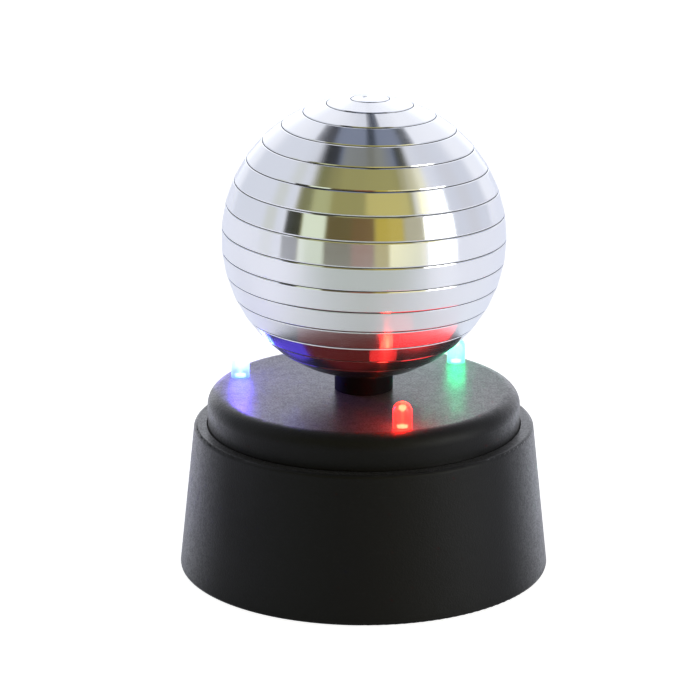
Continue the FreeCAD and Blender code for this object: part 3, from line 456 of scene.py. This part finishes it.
# %% The spiral's shape
STRIP_WIDTH = 10.0        # degrees of latitude that one turn falls on the upper half
LOW_WIDTH = 9.45          # and on the lower half, where it was wound more tightly
SEAM_AT_FRONT = 2.2       # latitude of the seam at the front, near the equator
SEAM_GAP = 0.36           # degrees left open between two turns
TOP_LATITUDE = 89.4       # the film closes up here
LOW_LATITUDE = -77.6      # and ends here, round the hub
FILM_THICKNESS = 0.35 * MM
FILM_INSET = 0.02 * MM    # the film's face lies this far inside the ball's outline
WAVE_HEIGHT = 0.012 * MM  # how much the glue lets the film ripple
EDGE_ROLL = 0.42          # degrees of latitude that are rolled in at an edge
EDGE_DROP = 0.10 * MM     # how far the rolled edge goes in
WIDTH_MM = 6.6            # the strip's width along the ball
START_TRIM, END_TRIM = 4, 2   # degrees of turn cut off where the strip has no width
STEPS_PER_TURN = 192


def seam_latitude(turn_angle):
    """The seam's latitude: it falls one strip's width for each full turn."""
    width = np.where(turn_angle < 0, STRIP_WIDTH, LOW_WIDTH)
    return SEAM_AT_FRONT - width * turn_angle / 360


def on_ball(turn_angle, latitude, radius):
    """The point at that angle (0 at the front, growing to the right) and latitude:
    centre + radius (cos lat cos az, cos lat sin az, sin lat), az = angle - 90."""
    az, lat = np.radians(turn_angle - 90), np.radians(latitude)
    flat = radius * np.cos(lat)
    return BALL_CENTRE + np.stack([flat * np.cos(az), flat * np.sin(az),
                                   radius * np.sin(lat)], -1)


def strip_points():
    """The strip's grid. Each row is one cross-section: outer face with both its edges
    rolled in a little, then the inner face. The rows follow the seam downwards."""
    first = 360 * (SEAM_AT_FRONT - TOP_LATITUDE) / STRIP_WIDTH - 360 + START_TRIM
    last = 360 * (SEAM_AT_FRONT - LOW_LATITUDE) / LOW_WIDTH - END_TRIM
    angle = np.linspace(first, last, int((last - first) / 360 * STEPS_PER_TURN))
    top = np.minimum(seam_latitude(angle), TOP_LATITUDE)
    bottom = np.maximum(seam_latitude(angle + 360) + SEAM_GAP, LOW_LATITUDE)
    wave = WAVE_HEIGHT * np.sin(np.radians(angle * 5.3)) * np.sin(np.radians(angle * 1.7))
    outer = BALL_RADIUS - FILM_INSET + wave
    roll = np.minimum(EDGE_ROLL, (top - bottom) / 6)
    inner = outer - FILM_THICKNESS
    section = [(top, outer - EDGE_DROP), (top - roll, outer), (bottom + roll, outer),
               (bottom, outer - EDGE_DROP), (bottom, inner), (bottom + roll, inner),
               (top - roll, inner), (top, inner)]
    points = np.stack([on_ball(angle, lat, radius) for lat, radius in section], 1)
    print("strip turns", (last - first) / 360)
    across = WIDTH_MM * np.array([0, 0.04, 0.96, 1, 1, 0.96, 0.04, 0])
    length = np.radians(angle) * BALL_RADIUS * np.cos(np.radians((top + bottom) / 2))
    uv = np.stack(np.broadcast_arrays(length[:, None] / MM, across[None, :]), 2)
    return points, uv


points, uv = strip_points()
mirror_spiral = surface("mirror_spiral", points, cap_ends=True, sharp=12, uv=uv)
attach(mirror_spiral, "ball")
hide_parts("mirror_strip")

# %% [markdown]
# ## The mirror finish
# Film mirrors aren't perfect: rolling leaves faint lines along the strip, and the
# glue under it lets the surface swim a little. Both are noises that read the
# strip's own attribute, millimetres along and across, so they follow the winding.

# %% The mirror finish
made, tree, shader = new_material("mirror_film", Metallic=1.0, Anisotropic=0.95,
                                  Anisotropic_Rotation=0.25,
                                  Specular_Tint=(0.95, 0.97, 1.0, 1))
strip_place = add(tree, "ShaderNodeAttribute", attribute_name="along_across").outputs["Vector"]
rolled = add(tree, "ShaderNodeTexNoise", {"Vector": add(
    tree, "ShaderNodeMapping", {"Vector": strip_place, "Scale": (0.15, 3.0, 1.0)}).outputs[0],
    "Scale": 1.0, "Detail": 2.0}).outputs[0]
swim = add(tree, "ShaderNodeTexNoise", {"Vector": add(
    tree, "ShaderNodeMapping", {"Vector": strip_place, "Scale": (0.12, 0.03, 1.0)}).outputs[0],
    "Scale": 1.0, "Detail": 2.0}).outputs[0]
worn = use(tree, handling, Colour=(0.93, 0.935, 0.945, 1), Roughness=maths(
    tree, "ADD", 0.11, maths(tree, "MULTIPLY", rolled, 0.05)), Smudges=0.2, Scratches=0.1)
tree.links.new(worn["Colour"], shader.inputs["Base Color"])
tree.links.new(worn["Roughness"], shader.inputs["Roughness"])
bump(tree, shader, swim, 0.05)
finishes["mirror_film"] = made

# %% [markdown]
# ## The three lamps
# Each lamp is a clear 5 mm light-emitting diode: an epoxy dome on a wider flange,
# with a small bright cup and a thin wire post inside. The dome is a profile turned
# about its own axis; the CAD node says where that axis is. In each lamp's row of
# looks, tint is the epoxy, glow is its coloured light, hot is where it glares, and
# body and dim are the dome's own glow and the dark stretch of the post.

# %% Lamp shapes
LENS_RADIUS = 2.5 * MM
FLANGE_RADIUS, FLANGE_HEIGHT = 2.9 * MM, 1.0 * MM
DISC_RADIUS, POST_RADIUS, CUP_RADIUS = 0.9 * MM, 0.3 * MM, 0.7 * MM
CUP_BELOW_TOP = 1.7 * MM     # the glowing cup's rim, below the top of the dome
LIGHT_BELOW_TOP = 2.8 * MM   # the point light that shiny parts mirror


def lens_profile(foot, top):
    """Flange, straight side, then a half-round dome that ends on the axis."""
    shelf = foot + FLANGE_HEIGHT
    return np.concatenate([
        [(0, foot), (FLANGE_RADIUS, foot), (FLANGE_RADIUS, shelf), (LENS_RADIUS, shelf)],
        arc((0, top - LENS_RADIUS), LENS_RADIUS, 0, 90, 14)])


def core_profile(foot, head):
    """What glows inside: a disc at the foot, a thin post, and a small cup at the head."""
    return np.array([(0, foot), (DISC_RADIUS, foot), (DISC_RADIUS, foot + 0.7 * MM),
                     (POST_RADIUS, foot + 0.8 * MM), (POST_RADIUS, head - 0.8 * MM),
                     (CUP_RADIUS, head - 0.4 * MM), (CUP_RADIUS, head),
                     (0.3 * MM, head - 0.2 * MM), (0, head - 0.2 * MM)])


LAMPS = {
    "red": {"tint": (1.0, 0.05, 0.07, 1), "glow": (1.0, 0.04, 0.03), "hot": (1.0, 0.5, 0.2, 1),
            "body": (0.8, 0.04, 0.045, 1), "body_strength": 0.55, "core_strength": 8.0,
            "dim": (0.08, 0.006, 0.008, 1)},
    "green": {"tint": (0.65, 0.98, 0.86, 1), "glow": (0.04, 1.0, 0.45), "hot": (0.7, 1.0, 0.9, 1),
              "body": (0.3, 0.75, 0.55, 1), "body_strength": 0.25, "core_strength": 1.5,
              "dim": (0.1, 0.3, 0.22, 1)},
    "blue": {"tint": (0.4, 0.76, 0.92, 1), "glow": (0.22, 0.1, 1.0), "hot": (0.6, 0.9, 1.0, 1),
             "body": (0.25, 0.6, 0.75, 1), "body_strength": 0.25, "core_strength": 1.5,
             "dim": (0.08, 0.2, 0.35, 1)},
}


def lamp_materials(colour, lamp, deck, top):
    """Clear tinted epoxy for the dome, and a glowing material for the core inside."""
    made, tree, shader = new_material(
        "lens_" + colour, Transmission_Weight=0.85, IOR=1.5, Roughness=0.3,
        Emission_Strength=lamp["body_strength"], Base_Color=lamp["tint"])
    place = add(tree, "ShaderNodeTexCoord").outputs["Object"]
    up = add(tree, "ShaderNodeSeparateXYZ", {"Vector": place}).outputs[2]
    rise = add(tree, "ShaderNodeMapRange", {"Value": up, "From Min": deck,
                                            "From Max": top}).outputs[0]
    cloud = add(tree, "ShaderNodeTexNoise", {"Vector": place, "Scale": 700.0}).outputs[0]
    # The dome's glow is brighter at its foot, by the chip, and at its top, where a painted
    # highlight stands for the chip's glare seen through the dome
    level = ramp(tree, rise, [(0.0, grey(0.9)), (0.25, grey(0.45)), (0.7, grey(0.6)),
                              (1.0, grey(0.9))])
    patchy = blend(tree, maths(tree, "MULTIPLY", cloud, 0.5), lamp["body"], lamp["hot"])
    tree.links.new(blend(tree, 1.0, patchy, level, "MULTIPLY"), shader.inputs["Emission Color"])
    finishes["lens_" + colour] = made
    core, tree, shader = new_material("core_" + colour, Base_Color=lamp["hot"],
                                      Emission_Strength=lamp["core_strength"])
    place = add(tree, "ShaderNodeTexCoord").outputs["Object"]
    up = add(tree, "ShaderNodeSeparateXYZ", {"Vector": place}).outputs[2]
    rise = add(tree, "ShaderNodeMapRange", {"Value": up, "From Min": deck,
                                            "From Max": top - CUP_BELOW_TOP}).outputs[0]
    grain = add(tree, "ShaderNodeTexNoise", {"Vector": place, "Scale": 1500.0}).outputs[0]
    ends = ramp(tree, rise, [(0.0, lamp["hot"]), (0.16, lamp["hot"]), (0.26, lamp["dim"]),
                             (0.8, lamp["dim"]), (0.92, lamp["hot"]), (1.0, lamp["hot"])])
    tree.links.new(blend(tree, maths(tree, "MULTIPLY", grain, 0.3), ends,
                         (*lamp["glow"], 1)), shader.inputs["Emission Color"])
    finishes["core_" + colour] = core


DECK = size_of("top_cover")[1][2]
for colour, lamp in LAMPS.items():
    low, high, middle = size_of("led_" + colour)
    lamp_materials(colour, lamp, DECK, high[2])
    lens = lathe("lens_" + colour, lens_profile(low[2], high[2]), middle[:2], turns=64)
    core = lathe("core_" + colour, core_profile(DECK + 0.1 * MM, high[2] - CUP_BELOW_TOP),
                 middle[:2], turns=32)
    for piece, finish in ((lens, "lens_" + colour), (core, "core_" + colour)):
        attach(piece, "base")
        piece.data.materials.append(finishes[finish])
        piece.visible_shadow = False
    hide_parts("led_" + colour)
    lamp["place"], lamp["top"] = middle[:2], high[2]

# %% [markdown]
# ## Battery springs
# Behind each battery's flat end a wire is wound into a cone on a plated tab. The
# wire's centre line is a cone-shaped helix, and a ring of points carried along it
# makes the wire. Its last turns lie closer together, as a real spring's do.

# %% Springs and their tabs
WIRE, WIDE, NARROW, SPRING_TURNS = 0.4 * MM, 4.6 * MM, 3.2 * MM, 5.5
TAB_HALF, TAB_THICK = 6 * MM, 0.4 * MM


def spring_points(start, stop, y, z):
    """At share t of its length the centre line is at x = start + (stop - start) t, and
    its distance from the axis shrinks from WIDE to NARROW. Around it, at angle a, the
    wire's skin is at WIRE (cos a radial + sin a sideways)."""
    t = np.linspace(0, 1, 220)
    turn = 2 * math.pi * SPRING_TURNS * t
    spread = WIDE + (NARROW - WIDE) * t
    ease = t - 0.06 * np.sin(2 * math.pi * t)
    line = np.stack([start + (stop - start) * ease, y + spread * np.cos(turn),
                     z + spread * np.sin(turn)], 1)
    along = np.gradient(line, axis=0)
    along /= np.linalg.norm(along, axis=1)[:, None]
    radial = np.stack([0 * t, np.cos(turn), np.sin(turn)], 1)
    radial -= (radial * along).sum(1)[:, None] * along
    radial /= np.linalg.norm(radial, axis=1)[:, None]
    side = np.cross(along, radial)
    a = np.linspace(0, 2 * math.pi, 9)[:-1]
    return (line[:, None] + WIRE * (np.cos(a)[None, :, None] * radial[:, None]
                                    + np.sin(a)[None, :, None] * side[:, None]))


def tab_points(start, stop, y, z):
    """A rounded square plate: its outline is |cos a|^0.35 and |sin a|^0.35 with their
    signs, and it shrinks a little at both faces to give soft edges."""
    a = np.linspace(0, 2 * math.pi, 49)[:-1]
    wide = np.sign(np.cos(a)) * np.abs(np.cos(a)) ** 0.35 * TAB_HALF
    tall = np.sign(np.sin(a)) * np.abs(np.sin(a)) ** 0.35 * TAB_HALF
    steps = [(0, 0), (0, 0.97), (0.25, 1), (0.75, 1), (1, 0.97), (1, 0)]
    return np.stack([np.stack([start + (stop - start) * s + 0 * a, y + k * wide, z + k * tall], 1)
                     for s, k in steps])


springs_low, springs_high, _ = size_of("spring_contacts")
for name in ("left", "middle", "right"):
    low, high, middle = size_of("battery_cell_" + name)
    flat_is_left = low[0] - springs_low[0] > springs_high[0] - high[0]
    can_end = low[0] if flat_is_left else high[0]
    wall = springs_low[0] if flat_is_left else springs_high[0]
    inner = wall + TAB_THICK * (1 if flat_is_left else -1)
    spare = WIRE * (1 if flat_is_left else -1)
    spring = surface("spring_" + name, spring_points(inner + spare, can_end - spare * 1.2,
                                                     middle[1], middle[2]), cap_ends=True)
    tab = surface("spring_tab_" + name, tab_points(wall, inner, middle[1], middle[2]))
    for piece in (spring, tab):
        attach(piece, "base")
        piece.data.materials.append(finishes["contact_nickel"])
    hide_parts("spring_contacts")

# %% [markdown]
# ## Every part gets its finish
# The CAD model gives each part a named, empty material slot. The loop swaps it for
# the finish of that name, so parts of one stuff share one material.

# %% Finishes on every part
mirror_spiral.data.materials.append(finishes["mirror_film"])
for name, node in nodes.items():
    slot = node.data.materials[0].name.split(".")[0]
    if slot in finishes:
        node.data.materials[0] = finishes[slot]
    else:
        print("no finish yet for", name, slot)

# %% [markdown]
# ## Lamp light
# The glowing cups are too small to light the deck without noise, so each lamp also
# gets two small point lights of its own colour. The halo lights the deck round the
# lamp, and nothing mirrors it. The gleam, in the dome, is what shiny parts mirror.

# %% Lamp light
LAMP_POWER = {  # halo on the deck, gleam in the ball, and the halo's height in mm
    "red": (0.021, 0.007, 1.5), "green": (0.015, 0.0015, 4.2), "blue": (0.024, 0.014, 4.2)}
GLOW_RADIUS = 1.5 * MM


def lamp_light(name, colour, power, place, glossy):
    """A tiny round light, not seen through the dome. glossy says whether it is mirrored."""
    light = bpy.data.lights.new(name, "POINT")
    light.color, light.energy, light.shadow_soft_size = colour, power, GLOW_RADIUS
    made = bpy.data.objects.new(name, light)
    made.location = place
    made.visible_glossy, made.visible_transmission = glossy, False
    scene.collection.objects.link(made)


for colour, lamp in LAMPS.items():
    halo, gleam, halo_height = LAMP_POWER[colour]
    lamp_light("halo_" + colour, lamp["glow"], halo,
               (*lamp["place"], DECK + halo_height * MM), False)
    lamp_light("gleam_" + colour, lamp["glow"], gleam,
               (*lamp["place"], lamp["top"] - LIGHT_BELOW_TOP), True)

# %% [markdown]
# ## Colour that spills on the ball
# Under the ball the film sees a wide patch of deck that the lamps flood at a low
# angle. Bouncing that light would take many samples, so dim sheets of light just over
# the deck stand for it, and light linking lets only the mirror strip receive them.

# %% Spill on the ball
SHEET_HEIGHT = 2.5 * MM   # above the deck
receivers = bpy.data.collections.new("mirror_only")
receivers.objects.link(mirror_spiral)


def spill(name, colour, radiance, turn, radius_mm, size_mm):
    """A sheet of light just above the deck at that angle, its long side along the rim,
    facing up. Its power is radiance x area x pi, and its area is pi/4 of its box."""
    light = bpy.data.lights.new(name, "AREA")
    light.shape, light.color = "ELLIPSE", colour
    light.size, light.size_y = (side * MM for side in size_mm)
    light.energy = radiance * light.size * light.size_y * math.pi * math.pi / 4
    made = bpy.data.objects.new(name, light)
    angle = math.radians(turn)
    made.location = (radius_mm * MM * math.cos(angle), radius_mm * MM * math.sin(angle),
                     DECK + SHEET_HEIGHT)
    made.rotation_euler = (math.pi, 0, angle + math.pi / 2)
    made.light_linking.receiver_collection = receivers
    made.visible_camera = False
    scene.collection.objects.link(made)


spill("spill_red_right", (1.0, 0.02, 0.025), 1.6, -46, 35, (50, 12))
spill("spill_red_under", (1.0, 0.03, 0.03), 0.9, -74, 27, (11, 9))
spill("spill_red_wash", (1.0, 0.1, 0.12), 0.25, -66, 48, (18, 12))
spill("spill_red_left", (1.0, 0.05, 0.05), 0.08, -100, 31, (52, 26))
spill("spill_blue", (0.13, 0.07, 1.0), 0.55, 202, 27, (32, 11))
print("spill lights: 5")

# %% [markdown]
# ## The studio
# A mirror ball shows nothing but the room, so the room matters. It is a white
# tent with a warm wall behind the camera, a dark slot of doorway on its left, pale
# windows and a dim ceiling. Each is a soft-edged card on the world, placed by its
# direction: azimuth from the camera's side, growing to the right, and height in
# degrees. The camera itself sees plain white.

# %% One soft card on the world
soft_card, given, out = new_group(
    "soft_card",
    {"Azimuth": ("value", 0.0), "Height": ("value", 0.0), "Left": ("value", -20.0),
     "Right": ("value", 20.0), "Low": ("value", 0.0), "High": ("value", 20.0),
     "Soft": ("value", 3.0)},
    {"Share": "value"})


def edge(tree, value, at, soft):
    """A smooth step from 0 to 1 round a value."""
    return add(tree, "ShaderNodeMapRange", {
        "Value": value, "From Min": maths(tree, "SUBTRACT", at, soft),
        "From Max": maths(tree, "ADD", at, soft)}, interpolation_type="SMOOTHSTEP").outputs[0]


inside = maths(soft_card, "SUBTRACT",
               edge(soft_card, given["Azimuth"], given["Left"], given["Soft"]),
               edge(soft_card, given["Azimuth"], given["Right"], given["Soft"]))
level = maths(soft_card, "SUBTRACT",
              edge(soft_card, given["Height"], given["Low"], given["Soft"]),
              edge(soft_card, given["Height"], given["High"], given["Soft"]))
soft_card.links.new(maths(soft_card, "MULTIPLY", inside, level), out["Share"])


def light_of(red, green, blue, strength=1.0):
    """A colour as a screen shows it, 0 to 255, as the light that makes it."""
    return (*[strength * (c / 255) ** 2.2 for c in (red, green, blue)], 1)


# %% The room's cards
world = bpy.data.worlds.new("studio")
scene.world = world
world.use_nodes = True
tree = world.node_tree
tree.nodes.clear()
toward = add(tree, "ShaderNodeSeparateXYZ",
             {"Vector": add(tree, "ShaderNodeTexCoord").outputs["Generated"]}).outputs
azimuth = maths(tree, "DEGREES", maths(tree, "ARCTAN2", toward[0],
                                       maths(tree, "MULTIPLY", toward[1], -1.0)))
height = maths(tree, "DEGREES", maths(tree, "ARCSINE", toward[2]))
CARDS = [  # left, right, low, high, soft, colour
    ("side wall, right", 78, 128, -90, 62, 6, light_of(209, 213, 226)),
    ("side wall, right fold", 96, 110, -90, 55, 5, light_of(206, 208, 218)),
    ("side wall, left", -140, -70, -90, 62, 6, light_of(215, 219, 231)),
    ("side wall, left fold", -92, -80, -10, 55, 4, light_of(204, 208, 206)),
    ("tent roof line", -78, 84, 62, 90, 5, light_of(118, 118, 106)),
    ("warm wall", -67, 51, -12, 76, 4, light_of(150, 146, 96)),
    ("warm wall, left shade", -67, -52, 27, 74, 4, light_of(118, 118, 80)),
    ("warm wall, lower", -33, 9, -12, 27, 3, light_of(92, 80, 52)),
    ("warm wall, foot", -10, 9, -12, 16, 3, light_of(138, 84, 62)),
    ("golden panel", 9, 34, -12, 27, 3, light_of(182, 162, 70)),
    ("golden panel, upper", 2, 46, 28, 50, 4, light_of(192, 182, 115)),
    ("grey post", 34, 53, 6, 27, 3, light_of(168, 164, 145)),
    ("left window", -54, -33, -12, 27, 2, light_of(222, 232, 208)),
    ("left window, upper", -52, -33, 28, 48, 3, light_of(170, 172, 125)),
    ("left post", -70, -55, -12, 26, 2, light_of(48, 50, 40)),
    ("right window", 53, 79, -12, 27, 2, light_of(252, 255, 250, 5.0)),
    ("right window, low", 20, 51, -12, 8, 2, light_of(252, 246, 196, 1.4)),
    ("right window, upper", 54, 75, 28, 50, 4, light_of(226, 220, 168)),
    ("warm wall, right shade", 50, 72, 50, 66, 4, light_of(165, 160, 118)),
]
ROOF_CARDS = [  # on a flat sheet overhead: across and back, in hundredths of its height
    ("roof opening", -46, 46, -16, 55, 4, light_of(120, 128, 148)),
    ("roof opening, left edge", -50, -27, -38, 54, 4, light_of(48, 50, 58)),
    ("roof opening, right edge", 36, 49, -36, 50, 3, light_of(50, 54, 58)),
    ("roof opening, beam", 3, 11, -10, 90, 3, light_of(62, 68, 80)),
]
behind = use(tree, soft_card, Azimuth=maths(tree, "ABSOLUTE", azimuth), Height=height,
             Left=156.0, Right=210.0, Low=-30.0, High=30.0, Soft=10.0)["Share"]
room = blend(tree, behind, light_of(244, 246, 255), light_of(240, 243, 252, 1.42))
for name, left, right, low, high, soft, colour in CARDS:
    share = use(tree, soft_card, Azimuth=azimuth, Height=height, Left=left, Right=right,
                Low=low, High=high, Soft=soft)["Share"]
    room = blend(tree, share, room, colour)
overhead = maths(tree, "DIVIDE", 100.0, maths(tree, "MAXIMUM", toward[2], 0.05))
across = maths(tree, "MULTIPLY", toward[0], overhead)
back = maths(tree, "MULTIPLY", toward[1], overhead)
for name, left, right, low, high, soft, colour in ROOF_CARDS:
    share = use(tree, soft_card, Azimuth=across, Height=back, Left=left, Right=right,
                Low=low, High=high, Soft=soft)["Share"]
    room = blend(tree, share, room, colour)
seen = add(tree, "ShaderNodeLightPath").outputs["Is Camera Ray"]
backdrop = add(tree, "ShaderNodeBackground", {"Color": blend(tree, seen, room, grey(1.0)),
                                              "Strength": 1.0})
tree.links.new(backdrop.outputs[0], add(tree, "ShaderNodeOutputWorld").inputs["Surface"])
print("cards on the world:", len(CARDS) + len(ROOF_CARDS))

# %% [markdown]
# ## The floor
# A product table is white and lit until it burns out. The floor is a large plain
# sheet: mostly its own white towards the camera, with a breath of real shading so
# the base still touches it. Its colour is painted darker towards the camera, and for
# reflections and bounced light a painted glow, weaker towards the camera, is added.
# From below it is clear, so that the feet can be seen.

# %% The floor
FLOOR_HALF = 3.0   # metres
sides = [-FLOOR_HALF, FLOOR_HALF]
grid = np.stack(np.meshgrid(sides, sides, indexing="ij") + [np.zeros((2, 2))], 2)
floor = surface("floor", grid, wrap_columns=False)
made = bpy.data.materials.new("table_white")
made.use_nodes = True
tree = made.node_tree
tree.nodes.clear()
spot = add(tree, "ShaderNodeSeparateXYZ", {"Vector": add(
    tree, "ShaderNodeTexCoord").outputs["Object"]}).outputs
# Painted shade: the floor's colour and its painted glow are darker towards the camera and lighter
# behind the toy
far = between(tree, maths(tree, "ADD", spot[1], maths(
    tree, "MULTIPLY", maths(tree, "ABSOLUTE", spot[0]), 0.9)), -0.2, 0.15)
diffuse = add(tree, "ShaderNodeBsdfDiffuse", {"Color": blend(
    tree, far, (0.76, 0.8, 0.8, 1), (0.96, 0.96, 1.0, 1))})
white = add(tree, "ShaderNodeEmission", {"Color": grey(1.0), "Strength": 0.93})
both = add(tree, "ShaderNodeAddShader", {0: add(tree, "ShaderNodeMixShader", {
    "Fac": 0.5, 1: diffuse.outputs[0]}).outputs[0], 1: white.outputs[0]})
path = add(tree, "ShaderNodeLightPath").outputs["Is Camera Ray"]
# A painted glow on the floor that only reflections and bounced light see
painted_floor_glow = add(tree, "ShaderNodeEmission", {"Color": blend(
    tree, far, (0.04, 0.05, 0.05, 1), (0.26, 0.27, 0.36, 1)), "Strength": 1.0})
unseen = add(tree, "ShaderNodeAddShader", {0: diffuse.outputs[0], 1: painted_floor_glow.outputs[0]})
lit = add(tree, "ShaderNodeMixShader", {"Fac": path, 1: unseen.outputs[0],
                                        2: both.outputs[0]})
under = add(tree, "ShaderNodeNewGeometry").outputs["Backfacing"]
clear = add(tree, "ShaderNodeMixShader", {
    "Fac": under, 1: lit.outputs[0],
    2: add(tree, "ShaderNodeBsdfTransparent").outputs[0]})
tree.links.new(clear.outputs[0], add(tree, "ShaderNodeOutputMaterial").inputs["Surface"])
floor.data.materials.append(made)

# %% [markdown]
# ## The camera
# A long lens from a little above the deck, aimed at the middle of the toy, so the
# deck shows as a narrow oval and upright lines stay upright.

# %% The camera
FOCAL_LENGTH, SENSOR_WIDTH = 172.4, 36.0       # millimetres, as lenses are marked
CAMERA_AT = Vector((0, -0.8612, 0.3215))
AIM_AT = Vector((-0.0037, 0, 0.06015))
optics = bpy.data.cameras.new("camera")
optics.lens, optics.sensor_width = FOCAL_LENGTH, SENSOR_WIDTH
optics.clip_start, optics.clip_end = 0.05, 20.0
camera = bpy.data.objects.new("camera", optics)
camera.location = CAMERA_AT
camera.rotation_euler = (AIM_AT - CAMERA_AT).to_track_quat("-Z", "Y").to_euler()
scene.collection.objects.link(camera)
scene.camera = camera
scene.view_settings.view_transform = "Standard"

# %% [markdown]
# ## The last update
# The looks must not change the toy's size; the last step only brings the scene up to date.

# %% The last update
bpy.context.view_layer.update()
